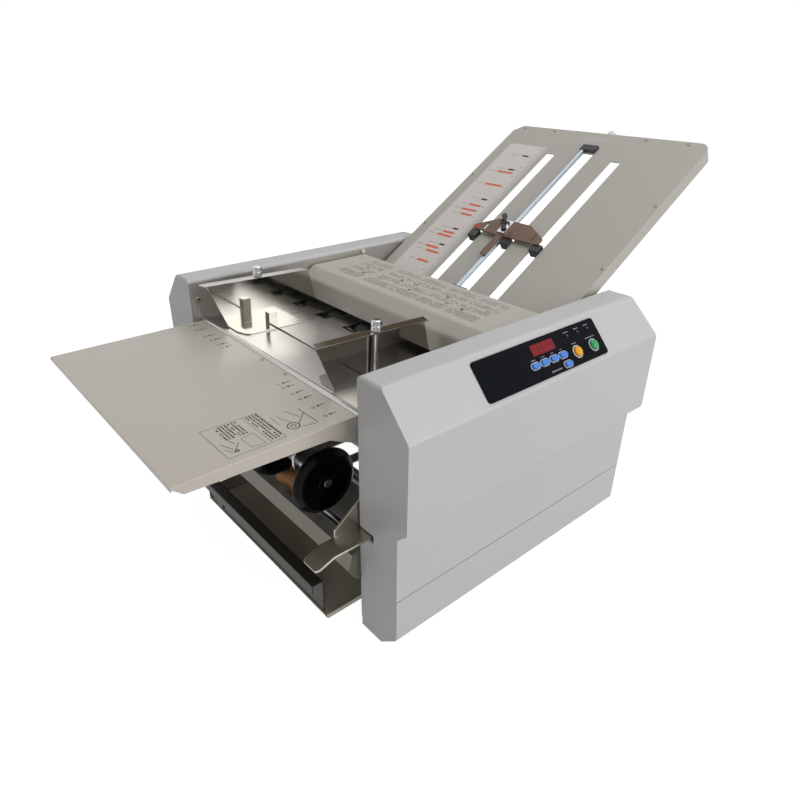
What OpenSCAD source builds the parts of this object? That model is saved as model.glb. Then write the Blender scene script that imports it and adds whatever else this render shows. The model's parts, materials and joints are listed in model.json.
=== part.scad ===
// Desk paper folding machine: feed table, two buckle fold plates, four fold rollers,
// stacker wheels and exit tray between two moulded side covers. Millimetres, +Z up.
// X runs along the paper path from the feed table to the upper fold plate.
// Y runs across the machine, from the control side (-) to the drive side (+).

/* [Overall] */
// Width over both side covers
machine_w = 520; // [480:5:580]
// Clear width between the two frame plates
inner_w = 364; // [356:2:380]
// Length of the side covers
cover_l = 420; // [400:5:450]
// Height of the side covers above the feet
cover_h = 323.5; // [320:0.5:330]
// Height of the rubber feet that show under the plinths
foot_h = 3; // [2:0.5:6]

/* [Side covers] */
// Wall thickness of the moulded covers and plinths
cover_wall = 3; // [2:0.5:4]
// Height of the joint between cover and plinth
seam_z = 79; // [70:1:84]
// Gap that shows along the joint
seam_gap = 1.2; // [0.6:0.2:2]
// Width of the flat top of a cover
cover_top_w = 35; // [30:1:38]
// Height of the lower edge of the sloped panel face
cover_slope_z = 280; // [274:1:286]
// Height of the lower edge of the outer face
cover_step_z = 177; // [172:1:190]
// How far the lower part of the cover steps inwards
cover_step_in = 14; // [10:1:16]
// Thickness of the steel frame plates
frame_t = 2.5; // [2:0.5:3]

/* [Feed table and deck] */
// Reach of the feed table in front of the covers
table_reach = 184; // [160:2:220]
// Width of the feed table
table_w = 342; // [320:2:350]
// Height of the table top above the plinth's lower edge
table_z = 270; // [268:0.5:272]
// Sheet thickness of the feed table
table_t = 1.5; // [1.2:0.1:2]
// Slope of the deck down towards the rollers, in degrees
deck_slope = 2; // [1:0.25:2.5]
// Diameter of the rolled front edge of the deck
bead_d = 9; // [8:0.5:10]
// Width of the slot that the side guides are clamped in
guide_slot_w = 4.5; // [4.2:0.1:5]
// Distance of that slot from the rolled edge
guide_slot_x = 63; // [58:1:68]

/* [Side guides] */
// Height of the side guides
guide_h = 60; // [50:1:62]
// Length of the side guides
guide_l = 142; // [130:1:144]
// Sheet thickness of the side guides
guide_t = 1.5; // [1.2:0.1:2]
// Width of the turned-out top flange
guide_flange_w = 12.5; // [11:0.5:14]
// Width of the ledge that the paper lies on
guide_ledge_w = 40; // [34:1:44]
// Place of the near guide from the centre line
near_guide_y = 109; // [100:1:120]
// Place of the far guide from the centre line
far_guide_y = 131; // [115:1:135]
// Diameter of the guide posts
post_d = 6; // [5.4:0.2:7]
// Diameter of the knurled guide knobs
guide_knob_d = 11; // [10:0.5:12]

/* [Upper fold plate] */
// Slope of the upper fold plate in degrees
plate_slope = 32; // [30:0.5:33]
// Width of the upper fold plate
plate_w = 352; // [340:2:354]
// Reach of the plate beyond the point where it leaves the covers
plate_reach = 315; // [300:1:340]
// Length of the plate inside the covers
plate_tail = 96; // [90:1:98]
// Depth of the folded rim
plate_rim = 19; // [16:1:21]
// Sheet thickness of both plates
sheet_t = 1.5; // [1.2:0.1:1.8]
// Gap that the paper runs in
paper_gap = 3; // [2.5:0.25:3.5]
// Distance between neighbouring stop slots
slot_pitch = 60; // [54:1:66]
// Width of the two outer stop slots
slot_w = 17; // [15:0.5:19]
// Width of the middle slot, which also holds the rod
mid_slot_w = 28; // [27:0.5:30]
// Diameter of the chrome guide rod
rod_d = 8; // [7:0.5:9]
// Place of the stop along the plate
stop_s = 52; // [40:1:70]

/* [Rollers] */
// Diameter of the fold rollers
roller_d = 30; // [28:0.5:31]
// Diameter of the roller shafts
shaft_d = 10; // [8:0.5:11]
// Diameter of the feed tires
feed_tire_d = 40; // [38:1:42]
// Diameter of the stacker wheels
wheel_d = 84; // [80:1:90]
// Thickness of the stacker wheels
wheel_t = 16; // [14:1:20]
// Distance between neighbouring stacker wheels
wheel_pitch = 101; // [96:1:106]
// Diameter of the exit tires
exit_tire_d = 26; // [24:0.5:27]

/* [Exit tray] */
// Depth of the tray floor
tray_l = 156; // [140:1:180]
// Width of the tray floor
tray_w = 306; // [290:2:320]
// Height of the tray fence
fence_h = 50; // [40:1:54]
// Width of the tray fence
fence_w = 285; // [270:1:290]

/* [Control panel] */
// Length of the black panel
panel_l = 206; // [200:2:230]
// Height of the black panel along the slope
panel_h = 46; // [44:1:47]
// Distance of the panel from the cover's front edge
panel_x = 109; // [100:1:120]
// Spacing of the count keys
key_pitch = 15.9; // [15.4:0.1:16.5]
// Diameter of the two round buttons
button_d = 12; // [10:0.5:13]

/* [Hidden] */
$fn = 48;

eps = 0.01;
// Gap between parts that rest on each other with a running gap
seat_gap = 0.3;
// Radial clearance of a shaft in its bearing
bearing_gap = 0.05;

half_w = machine_w / 2;
half_in = inner_w / 2;
cover_in = half_in + frame_t + 0.5;
cover_top_out = cover_in + cover_top_w;
plinth_out = half_w - cover_step_in;
// The sloped step below the outer face
step_drop = 13;
// How far the top of the right end leans back
end_lean = 8;
plinth_bevel = [26, 23];
// Free depth of the drive side, beside its frame plate, and its share for each thing in it
pod_depth = plinth_out - cover_wall - half_in - frame_t;
pod = pod_depth / 58.5;

// Plate frame: s runs up the slope, y across, n away from the top sheet
plate_x = 370.5;
plate_z = 318.7;
trim_y = -8;
trim_n = -plate_rim / 2 + 2;
trim_d = 14;
trim_l = 9;
// Furthest point at the rear: the rim of the small knob on the plate's end
rear_x = plate_x + (plate_reach + seat_gap + trim_l) * cos(plate_slope) + (trim_d / 2 - trim_n) * sin(plate_slope);
origin_x = (rear_x - table_reach) / 2;

// Deck frame: starts at the middle of the rolled edge
deck_x = 14;
deck_z = table_z - 2;
deck_t = 1.5;
deck_l = 190;
deck_w = inner_w;
window_u = 135;
window_l = 56;
window_w = 26;
feed_tire_ys = [-100, -34, 34, 100];
// How far the feed tires stand out of the deck
tire_poke = 1;
feed_u = 170;
feed_x = deck_x + feed_u * cos(deck_slope) - (feed_tire_d / 2 - tire_poke) * sin(deck_slope);
feed_z = deck_z - feed_u * sin(deck_slope) - (feed_tire_d / 2 - tire_poke) * cos(deck_slope);

// Fold rollers: each touches the next, at these angles from one to the next
roller_gap = 0.3;
pair = roller_d + roller_gap;
roller_a = [254, 264];
roller_b = roller_a + pair * [cos(-58), sin(-58)];
roller_c = roller_b + pair * [cos(220), sin(220)];
roller_d_pos = roller_c + pair * [cos(-70), sin(-70)];
roller_centres = [roller_a, roller_b, roller_c, roller_d_pos];
roller_len = 340;
gear_teeth = 20;
gear_y = half_in + frame_t + 3 * pod;
gear_w = 10 * pod;
gear_tooth = 1.1;

// Stacker wheels and exit roller
wheel_c = [12, 152.9];
exit_behind = 8;
exit_apart = (wheel_d + exit_tire_d) / 2 + seat_gap;
exit_c = wheel_c + [exit_behind, -sqrt(exit_apart * exit_apart - exit_behind * exit_behind)];
exit_tire_ys = [-17, 57];
exit_tire_w = 46;
wheel_ys = [-wheel_pitch, 0, wheel_pitch];
ear_y = wheel_pitch / 2;
comb_top = [-9, 106];
comb_drop = 20;
finger_tip = [1.5, 109.6];
finger_w = 23;
finger_ys = [-98.6, -24.8, 49, 122.8];

// Lower fold plate frame: starts at the nip of rollers b and c
nip_bc = (roller_b + roller_c) / 2;
lower_slope = 50;
lower_start = 20;
lower_l = 165;
lower_w = 340;
lower_stop_s = 100;

base_z = 10;
base_t = 2;
rail_x0 = 40;
rail_l = 90;
frame_x0 = 2;
frame_x1 = cover_l - 12;

// Bridge cover
bridge_hinge = [290, 312];
bridge_w = inner_w - 8;
bridge_wall = 2.5;
bridge_front = 176;
bridge_low = 271;
bridge_top = 312.5;
pin_d = 6;
pin_gap = 0.05;

// Release lever
lever_pivot = [14, 142];
lever_t = 2.5;
lever_y0 = -206;
lever_y1 = -half_in + 1.5;
lever_hub_d = 14;
lever_foot_x = 32;

// Sloped panel face of the near cover, as a frame: t runs down the slope
slope_top = [-cover_top_out, cover_h];
slope_low = [-half_w, cover_slope_z];
slope_angle = atan2(slope_top[1] - slope_low[1], slope_top[0] - slope_low[0]);
panel_t0 = 8;
panel_thick = 1.6;

// ---------- Shared shapes ----------

// Points of an arc round c, from angle a to b
function arc(c, r, a, b, n = 6) = [for (i = [0:n]) c + r * [cos(a + (b - a) * i / n), sin(a + (b - a) * i / n)]];

function unit(v) = v / norm(v);

// A corner p between a and b, rounded with radius r
function corner(a, p, b, r, n = 5) =
    r <= 0 ? [p] :
    let (u = unit(a - p), v = unit(b - p), half = acos(u * v) / 2, w = unit(u + v),
        c = p + w * r / sin(half), d = r / tan(half),
        t1 = p + u * d - c, t2 = p + v * d - c,
        a1 = atan2(t1[1], t1[0]), raw = atan2(t2[1], t2[0]) - a1,
        sweep = raw > 180 ? raw - 360 : raw < -180 ? raw + 360 : raw)
    arc(c, r, a1, a1 + sweep, n);

// Outline through pts, each given as [x, y, corner radius]
function rounded(pts, n = 5) = let (k = len(pts)) [for (i = [0:k - 1])
    let (a = pts[(i + k - 1) % k], p = pts[i], b = pts[(i + 1) % k])
    each corner([a[0], a[1]], [p[0], p[1]], [b[0], b[1]], len(p) > 2 ? p[2] : 0, n)];

// Where two lines meet, each through a point along a direction
function meet(p, u, q, v) = let (d = u[0] * v[1] - u[1] * v[0], w = q - p)
    p + u * (w[0] * v[1] - w[1] * v[0]) / d;

// A clockwise outline moved inwards by d
function inset(pts, d) = let (k = len(pts)) [for (i = [0:k - 1])
    let (a = [pts[(i + k - 1) % k][0], pts[(i + k - 1) % k][1]], p = [pts[i][0], pts[i][1]],
        b = [pts[(i + 1) % k][0], pts[(i + 1) % k][1]], u = unit(p - a), v = unit(b - p),
        nu = [u[1], -u[0]], nv = [v[1], -v[0]], q = meet(p + nu * d, u, p + nv * d, v))
    [q[0], q[1], max(0, (len(pts[i]) > 2 ? pts[i][2] : 0) - d)]];

// Moves a part from machine coordinates to the part's origin, under its middle
module place() {
    translate([-origin_x, 0, foot_h]) children();
}

// An outline in X and Z, spread along Y from y0 to y1
module along_y(y0, y1) {
    translate([0, y1, 0]) rotate([90, 0, 0]) linear_extrude(y1 - y0) children();
}

// An outline in Y and Z, spread along X from x0 to x1
module along_x(x0, x1) {
    translate([x0, 0, 0]) rotate([90, 0, 90]) linear_extrude(x1 - x0) children();
}

// A round bar along Y at c = [x, z], from y0 to y1
module bar_y(c, d, y0, y1) {
    translate([c[0], y1, c[1]]) rotate([90, 0, 0]) cylinder(d = d, h = y1 - y0);
}

// A tyre or tube along Y, open at the bore
module ring_y(c, d, bore, y0, y1) {
    difference() {
        bar_y(c, d, y0, y1);
        bar_y(c, bore, y0 - 1, y1 + 1);
    }
}

module box(lo, hi) {
    translate(lo) cube(hi - lo);
}

// Places children in the frame of the sloping deck
module on_deck() {
    translate([deck_x, 0, deck_z]) rotate([0, deck_slope, 0]) children();
}

// Places children in the frame of the upper fold plate
module on_plate() {
    translate([plate_x, 0, plate_z]) rotate([0, -plate_slope, 0]) children();
}

// Places children in the frame of the lower fold plate
module on_lower() {
    translate([nip_bc[0], 0, nip_bc[1]]) rotate([0, lower_slope, 0]) children();
}

// Places children on the sloped panel face: X along the machine, Y up the slope, Z outwards
module on_panel() {
    translate([0, slope_top[0], slope_top[1]]) rotate([slope_angle, 0, 0]) children();
}

// ---------- Side covers ----------

// Cross-section of a cover, as distance from the centre line and height
cover_section = [[cover_in, seam_z + seam_gap, 0], [cover_in, cover_h, 5], [cover_top_out, cover_h, 6],
    [half_w, cover_slope_z, 7], [half_w, cover_step_z, 6], [plinth_out, cover_step_z - step_drop, 4],
    [plinth_out, seam_z + seam_gap, 0]];
// Side view of a cover, as X and Z
cover_side = [[0, seam_z + seam_gap, 0], [0, cover_h, 4], [cover_l - end_lean, cover_h, 5],
    [cover_l, cover_slope_z, 7], [cover_l, cover_step_z, 6],
    [cover_l - end_lean + 1, cover_step_z - step_drop, 4], [cover_l - end_lean + 1, seam_z + seam_gap, 0]];
plinth_section = [[cover_in, 0, 0], [cover_in, seam_z, 0], [plinth_out, seam_z, 0],
    [plinth_out, plinth_bevel[1], 5], [plinth_out - plinth_bevel[0], 0, 3]];
plinth_side = [[0.6, 0, 0], [0.6, seam_z, 0], [cover_l - end_lean + 1, seam_z, 0],
    [cover_l - end_lean + 1, 10, 6], [cover_l - end_lean - 9, 0, 3]];

module shell(section, side, open_low, open_high) {
    difference() {
        intersection() {
            along_x(-1, cover_l + 1) polygon(rounded(section));
            along_y(cover_in - 1, half_w + 1) polygon(rounded(side));
        }
        intersection() {
            along_x(-2, cover_l + 2) polygon(rounded(inset(section, cover_wall)));
            along_y(cover_in - 2, half_w + 2) polygon(rounded(inset(side, cover_wall)));
        }
        box([side[0][0] + cover_wall, cover_in - 1, open_low],
            [cover_l - end_lean - cover_wall, cover_in + cover_wall + 1, open_high]);
    }
}

// Slot in the near cover's end wall that the release lever comes out of: two sides, bottom and top
lever_window = [half_in - 1, -lever_y0 + 2, lever_pivot[1] - 7.5, lever_pivot[1] + 2.8];
screen_vent_xs = [300, 318, 336, 354, 372];

module near_cover() {
    color([0.80, 0.79, 0.78]) mirror([0, 1, 0]) difference() {
        shell(cover_section, cover_side, seam_z, cover_h - 12);
        box([-1, lever_window[0], lever_window[2]], [cover_wall + 1, lever_window[1], lever_window[3]]);
        // Seats of the panel and of the buttons behind it
        mirror([0, 1, 0]) on_panel() {
            box([panel_x + 12, -(panel_t0 + panel_h) + 0.5, -cover_wall - 6], [panel_x + panel_l - 6,
                -panel_t0 - 6, eps]);
        }
    }
}

module far_cover() {
    color([0.80, 0.79, 0.78]) difference() {
        shell(cover_section, cover_side, seam_z, cover_h - 12);
        // Seat of the power inlet in the end wall, and vents
        box([cover_l - 12, inlet_y - inlet_w / 2, inlet_z - inlet_h / 2],
            [cover_l + 2, inlet_y + inlet_w / 2, inlet_z + inlet_h / 2]);
        for (x = screen_vent_xs) box([x, half_w - 10, 215], [x + 6, half_w + 1, 255]);
    }
}

module plinth() {
    shell(plinth_section, plinth_side, cover_wall, seam_z + 1);
}

module plinths() {
    color([0.80, 0.79, 0.78]) {
        plinth();
        mirror([0, 1, 0]) plinth();
    }
}

foot_d = 22;
foot_xs = [30, cover_l - 50];
module rubber_feet() {
    color([0.08, 0.08, 0.08]) for (x = foot_xs, side = [-1, 1])
        translate([x, side * (cover_in + 20), -foot_h]) cylinder(d = foot_d, h = foot_h);
}

// ---------- Frame ----------

module frame_plate() {
    difference() {
        along_y(half_in, half_in + frame_t) polygon(rounded([[frame_x0, base_z, 0], [frame_x0, cover_h - 4, 3],
            [frame_x1 - 6, cover_h - 4, 3], [frame_x1, cover_slope_z, 0], [frame_x1, base_z, 0]]));
        for (c = roller_centres) bar_y(c, bearing_d, half_in - 1, half_in + frame_t + 1);
        bar_y([feed_x, feed_z], bearing_d, half_in - 1, half_in + frame_t + 1);
    }
}

module near_frame() {
    color([0.72, 0.74, 0.76]) mirror([0, 1, 0]) difference() {
        frame_plate();
        // Way of the release lever
        box([-1, half_in - 1, 130], [lever_foot_x - 2, half_in + frame_t + 1, 184]);
    }
    // Bracket and pin of the release lever
    color([0.72, 0.74, 0.76]) difference() {
        union() {
            box([lever_foot_x, -half_in - frame_t - 2, 124], [lever_foot_x + 8, -half_in - frame_t, 160]);
            box([6, lever_y0 - 6, 128], [lever_foot_x + 8, lever_y0 - 3, 156]);
            box([lever_foot_x + 5, lever_y0 - 6, 128], [lever_foot_x + 8, -half_in - frame_t, 156]);
        }
        bar_y(lever_pivot, 6, lever_y0 - 7, lever_y0 - 2);
    }
    color([0.7, 0.7, 0.7]) bar_y(lever_pivot, 6, lever_y0 - 6, lever_y1 - 4);
}

module far_frame() {
    color([0.80, 0.84, 0.88]) difference() {
        frame_plate();
        bar_y(wheel_c, bearing_d, half_in - 1, half_in + frame_t + 1);
        bar_y(exit_c, bearing_d, half_in - 1, half_in + frame_t + 1);
    }
}

module base_pan() {
    color([0.72, 0.74, 0.76]) {
        difference() {
            box([rail_x0, -half_in, base_z], [frame_x1, half_in, base_z + base_t]);
            for (y = [-120, -60, 0, 60, 120]) box([180, y - 20, base_z - 1], [260, y + 20, base_z + base_t + 1]);
        }
        // Rails over the side hems of the exit tray
        for (s = [-1, 1]) box([rail_x0, s * tray_w / 2 - 3, tray_side + seat_gap],
            [rail_x0 + rail_l, s * tray_w / 2 + 3, base_z]);
    }
}

tie_ds = [14, 14, 12];
tie_places = [[92, 200], [120, 60], [cover_l - 40, 255]];
module tie_rods() {
    color([0.75, 0.76, 0.78]) {
        for (i = [0:2]) bar_y(tie_places[i], tie_ds[i], -half_in, half_in);
        // Cross plate with the two ears that carry the stacker shaft
        difference() {
            union() {
                box([62, -half_in, 178], [64.5, half_in, 252]);
                for (s = [-1, 1]) along_y(s * ear_y - 2, s * ear_y + 2) polygon(rounded([[64, 178, 0],
                    [64, 215, 0], [50, 215, 4], [wheel_c[0] - 10, wheel_c[1] + 10, 8],
                    [wheel_c[0] - 10, wheel_c[1] - 10, 8], [wheel_c[0] + 14, wheel_c[1] - 10, 6]]));
            }
            bar_y(wheel_c, shaft_d + 2 * bearing_gap, -half_in, half_in);
        }
    }
}

bearing_d = 22;
module shaft_bearings() {
    color([0.6, 0.6, 0.62]) {
        for (c = concat(roller_centres, [[feed_x, feed_z]]), s = [-1, 1])
            bearing(c, s);
        bearing(wheel_c, 1);
        bearing(exit_c, 1);
        // The exit roller's near journal runs in a block on the comb's cheek
        ring_y(exit_c, bearing_d - 6, shaft_d + 2 * bearing_gap, cheek_y, cheek_y + 6);
    }
}

module bearing(c, s) {
    ring_y(c, bearing_d, shaft_d + 2 * bearing_gap, s > 0 ? half_in : -half_in - frame_t,
        s > 0 ? half_in + frame_t : -half_in);
}

// ---------- Feed table, deck and bridge ----------

rim_low = 17;
rim_out = 11;
table_x1 = deck_x - bead_d / 2 - seat_gap;
module feed_table() {
    y1 = table_w / 2;
    color([0.74, 0.71, 0.66]) {
        box([-table_reach, -y1, table_z - table_t], [table_x1, y1, table_z]);
        box([-table_reach, -y1, table_z - 4.5], [-table_reach + table_t, y1, table_z - table_t]);
        for (s = [-1, 1]) along_y(s > 0 ? y1 - table_t : -y1, s > 0 ? y1 : -y1 + table_t)
            polygon([[-table_reach + rim_out, table_z - rim_out], [-table_reach, table_z - table_t],
                [-table_reach, table_z - eps], [-2, table_z - eps], [-2, table_z - rim_low]]);
        // Brackets with tabs that hook the table on the frames
        for (s = [-1, 1]) {
            along_y(s > 0 ? y1 - 2 * table_t : -y1 + table_t, s > 0 ? y1 - table_t : -y1 + 2 * table_t)
                polygon([[-30, table_z - table_t], [-30, table_z - 14], [3, table_z - 30],
                    [table_x1, table_z - 30], [table_x1, table_z - table_t]]);
            box([3, s > 0 ? y1 - table_t - eps : -half_in, table_z - 30],
                [table_x1, s > 0 ? half_in : -y1 + table_t + eps, table_z - 28]);
        }
    }
}

module deck_plate() {
    color([0.85, 0.85, 0.86]) {
        on_deck() difference() {
            union() {
                box([0, -deck_w / 2, -deck_t], [deck_l, deck_w / 2, 0]);
                // Turned-down rear edge
                box([deck_l - deck_t, -deck_w / 2, -8], [deck_l, deck_w / 2, -deck_t]);
            }
            box([guide_slot_x - guide_slot_w / 2, -deck_w / 2 + 16, -9], [guide_slot_x + guide_slot_w / 2,
                deck_w / 2 - 16, 1]);
            for (y = feed_tire_ys) box([window_u, y - window_w / 2, -deck_t - 1], [deck_l - 4, y + window_w / 2, 1]);
        }
        // Rolled front edge
        difference() {
            bar_y([deck_x, deck_z], bead_d, -deck_w / 2, deck_w / 2);
            bar_y([deck_x, deck_z - 0.5], bead_d - 3, -deck_w / 2 - 1, deck_w / 2 + 1);
            on_deck() box([-1, -deck_w / 2 - 1, -12], [12, deck_w / 2 + 1, -deck_t]);
            on_deck() box([0, -deck_w / 2 - 1, -deck_t - eps], [12, deck_w / 2 + 1, 0]);
        }
    }
}

// Side view of the bridge cover, from its front face over the shoulder to the hinge
bridge_side = [[bridge_front, bridge_low, 0], [bridge_front, 299, 7], [194, bridge_top - 0.5, 9],
    [bridge_hinge[0] + 4, bridge_top, 5], [bridge_hinge[0] + 4, 296, 4], [bridge_hinge[0] - 14, 288, 4]];
module bridge_cover() {
    y1 = bridge_w / 2;
    color([0.70, 0.68, 0.64]) difference() {
        along_y(-y1, y1) polygon(rounded(bridge_side));
        along_y(-y1 + bridge_wall, y1 - bridge_wall) polygon(rounded([
            [bridge_front + bridge_wall, bridge_low - 1, 0], [bridge_front + bridge_wall, 298, 5],
            [195, bridge_top - bridge_wall - 0.5, 8], [bridge_hinge[0] - 8, bridge_top - bridge_wall, 3],
            [bridge_hinge[0] - 14, 292, 3], [bridge_hinge[0] - 22, 280, 0]]));
        // Open underside
        along_y(-y1 + bridge_wall, y1 - bridge_wall) polygon([[bridge_front + bridge_wall, bridge_low - 5],
            [bridge_front + bridge_wall, 282], [bridge_hinge[0] - 18, 294], [bridge_hinge[0] - 12, 280]]);
        bar_y([bridge_hinge[0] - 3, bridge_hinge[1] - 8], pin_d + 2 * pin_gap, -y1 - 1, y1 + 1);
        // Clearance over the rear roller bearings
        along_y(-y1 - 1, -y1 + bridge_wall + 1) polygon([[205, 260], [205, 286], [262, 290], [262, 260]]);
        along_y(y1 - bridge_wall - 1, y1 + 1) polygon([[205, 260], [205, 286], [262, 290], [262, 260]]);
    }
}

// Friction pad over the feed tires, on a hanger under the bridge cover
pad_gap = 0.6;
module separator_pad() {
    color([0.35, 0.33, 0.30]) {
        box([202, -14, 270], [208, 14, bridge_top - bridge_wall - 0.6]);
        on_deck() box([feed_u - 4, -18, tire_poke + pad_gap], [feed_u + 14, 18, tire_poke + pad_gap + 10]);
        box([184, -14, 268], [208, 14, 274]);
    }
}

hinge_c = [bridge_hinge[0] - 3, bridge_hinge[1] - 8];
plate_pin_d = 8;
lower_pin_ss = [30, 150];
catch_c = [290.5, 316.5];
upper_pin_ss = [-80, 10];
module locating_pins() {
    color([0.86, 0.85, 0.78]) {
        for (s = [-1, 1]) {
            bar_y(hinge_c, pin_d, s > 0 ? bridge_w / 2 - 10 : -half_in, s > 0 ? half_in : -bridge_w / 2 + 10);
            // Pins that the fold plates lie on
            for (p = upper_pin_ss) on_plate() bar_y([p, -plate_rim / 2 - 4], plate_pin_d,
                s > 0 ? plate_w / 2 : -half_in, s > 0 ? half_in : -plate_w / 2);
            for (p = lower_pin_ss) on_lower() bar_y([p, 0], plate_pin_d,
                s > 0 ? lower_w / 2 : -half_in, s > 0 ? half_in : -lower_w / 2);
            // Short bosses over the bridge cover's rear corners
            bar_y(catch_c, 7, s > 0 ? half_in - 3.2 : -half_in, s > 0 ? half_in : -half_in + 3.2);
        }
    }
}

// ---------- Side guides ----------

guide_v0 = 0.3;
guide_u0 = 12;
guide_lean = 26;
ledge_l = 92;
block_u = 50;
block_in = 36;
post_in = 7;

// A guide whose web stands at y = 0 and whose ledge points to -Y
module guide_sheet() {
    difference() {
        union() {
            along_y(-guide_t / 2, guide_t / 2) polygon(rounded([[guide_u0, guide_v0, 0],
                [guide_u0 - guide_lean, guide_h, 0], [guide_u0 - guide_lean + guide_l + 10, guide_h, 0],
                [guide_u0 + guide_l, guide_v0, 0]]));
            // Ledge with its cut front corner
            translate([0, 0, guide_v0]) linear_extrude(guide_t) polygon(rounded([[guide_u0, 0, 0],
                [guide_u0 + ledge_l, 0, 0], [guide_u0 + ledge_l, -guide_ledge_w, 2],
                [guide_u0 + 6, -guide_ledge_w, 8], [guide_u0, -guide_ledge_w + 16, 8]]));
            // Top flange, turned outwards
            translate([0, 0, guide_h - guide_t]) linear_extrude(guide_t) polygon([[guide_u0 - guide_lean, 0],
                [guide_u0 - guide_lean - 4, guide_flange_w], [guide_u0 - guide_lean + guide_l + 6, guide_flange_w],
                [guide_u0 - guide_lean + guide_l + 10, 0]]);
        }
        translate([guide_slot_x, post_in, guide_h - guide_t - 1]) cylinder(d = post_d + 0.4, h = guide_t + 2);
    }
    // Foot under the flange that the post stands on, and clamp block on the ledge
    difference() {
        box([guide_slot_x - 6, guide_t / 2, guide_v0], [guide_slot_x + 6, guide_flange_w, guide_v0 + 3]);
        translate([guide_slot_x, post_in, -1]) cylinder(d = 3.8, h = 6);
    }
    difference() {
        box([block_u, -block_in - 5, guide_v0 + guide_t], [block_u + 12, -block_in + 5, guide_v0 + guide_t + 22]);
        translate([block_u - 1, -block_in, guide_v0 + 16]) rotate([0, 90, 0]) cylinder(d = 3, h = 5);
    }
}

module near_guide() {
    color([0.82, 0.82, 0.83]) on_deck() translate([0, -near_guide_y, 0]) mirror([0, 1, 0]) guide_sheet();
}

module far_guide() {
    color([0.82, 0.82, 0.83]) on_deck() translate([0, far_guide_y, 0]) guide_sheet();
}

// Knurled knob on its post, with the stud that runs through the deck slot to the nut
knob_h = 13;
module knob_post() {
    translate([0, 0, guide_v0 + 3 + seat_gap]) cylinder(d = post_d, h = guide_h - 3);
    translate([0, 0, -deck_t - 7]) cylinder(d = 3.4, h = deck_t + 12);
    translate([0, 0, -deck_t - seat_gap - 6]) cylinder(d = 10, h = 6, $fn = 6);
    translate([0, 0, guide_h + seat_gap]) {
        cylinder(d = guide_knob_d - 3, h = knob_h);
        for (z = [0.5, 7]) translate([0, 0, z]) cylinder(d = guide_knob_d, h = 5.5);
    }
}

module near_guide_knob() {
    color([0.8, 0.8, 0.8]) on_deck() translate([guide_slot_x, -near_guide_y - post_in, 0]) knob_post();
}

module far_guide_knob() {
    color([0.8, 0.8, 0.8]) on_deck() translate([guide_slot_x, far_guide_y + post_in, 0]) knob_post();
}

// ---------- Upper fold plate ----------

slot_s0 = -60;
slot_s1 = plate_reach - 61;
mid_slot_s1 = plate_reach - 33;
rod_y = mid_slot_w / 2 - rod_d / 2 - 0.6;
back_more = 7;
far_cut = 14;
near_round = 17;
plate_side_gap = 0.3;

module plate_outline(w, tail, reach, cut, round) {
    polygon(rounded([[-tail, -w / 2, 0], [-tail, w / 2, 0], [reach - cut, w / 2, 2], [reach, w / 2 - cut, 2],
        [reach, -w / 2, round]], 6));
}

// Slots of the back sheet: wider than those of the front sheet, except round the rod's ears
module back_slots() {
    for (y = [-slot_pitch, slot_pitch]) translate([slot_s0 - 2, y - slot_w / 2 - back_more])
        square([slot_s1 + back_more - slot_s0 + 2, slot_w + 2 * back_more]);
    translate([slot_s0, -mid_slot_w / 2]) square([mid_slot_s1 - slot_s0, mid_slot_w]);
    translate([slot_s0 + 16, -mid_slot_w / 2 - back_more])
        square([mid_slot_s1 - slot_s0 - 32, mid_slot_w + 2 * back_more]);
}

module stop_slots() {
    for (y = [-slot_pitch, slot_pitch]) translate([slot_s0, y - slot_w / 2]) square([slot_s1 - slot_s0, slot_w]);
    translate([slot_s0, -mid_slot_w / 2]) square([mid_slot_s1 - slot_s0, mid_slot_w]);
}

module upper_plate() {
    color([0.66, 0.65, 0.62]) on_plate() {
        translate([0, 0, -sheet_t]) linear_extrude(sheet_t) difference() {
            plate_outline(plate_w, plate_tail, plate_reach, far_cut, near_round);
            stop_slots();
        }
        // Folded rim on both sides and on the top end
        difference() {
            translate([0, 0, -plate_rim]) linear_extrude(plate_rim - sheet_t) difference() {
                plate_outline(plate_w, plate_tail, plate_reach, far_cut, near_round);
                plate_outline(plate_w - 2 * sheet_t, plate_tail + 1, plate_reach - sheet_t, far_cut,
                    near_round - sheet_t);
            }
            translate([plate_reach - 5, trim_y, trim_n]) rotate([0, 90, 0]) cylinder(d = 5.2, h = 10);
        }
    }
}

module upper_plate_back() {
    inner = plate_w - 2 * sheet_t - 2 * plate_side_gap;
    low = -sheet_t - paper_gap - sheet_t;
    color([0.66, 0.65, 0.62]) on_plate() {
        translate([0, 0, low]) linear_extrude(sheet_t) difference() {
            plate_outline(inner, plate_tail, plate_reach - sheet_t - 4, far_cut, near_round);
            back_slots();
        }
        // Spacer strips between the two sheets
        for (s = [-1, 1]) box([-plate_tail, s > 0 ? inner / 2 - 10 : -inner / 2, low + sheet_t],
            [plate_reach - 30, s > 0 ? inner / 2 : -inner / 2 + 10, -sheet_t]);
        // Ears that hold the ends of the rod
        for (s0 = [mid_slot_s1 - 14, slot_s0]) difference() {
            box([s0 + 0.3, -mid_slot_w / 2 + 0.5, low + sheet_t - eps], [s0 + 12, mid_slot_w / 2 - 0.5, bar_n - 0.4]);
            translate([s0 - 1, rod_y, 0]) rotate([0, 90, 0]) cylinder(d = rod_d, h = 20);
        }
        for (s0 = [mid_slot_s1 - 14, slot_s0]) box([s0 + 0.3, -mid_slot_w / 2 - 4, low + sheet_t - eps],
            [s0 + 12, -mid_slot_w / 2 + 1, -sheet_t]);
    }
}

module stop_rod() {
    color([0.72, 0.76, 0.78]) on_plate() translate([slot_s0 + 0.5, rod_y, 0]) rotate([0, 90, 0])
        cylinder(d = rod_d, h = mid_slot_s1 - 2.5 - slot_s0);
}

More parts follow.
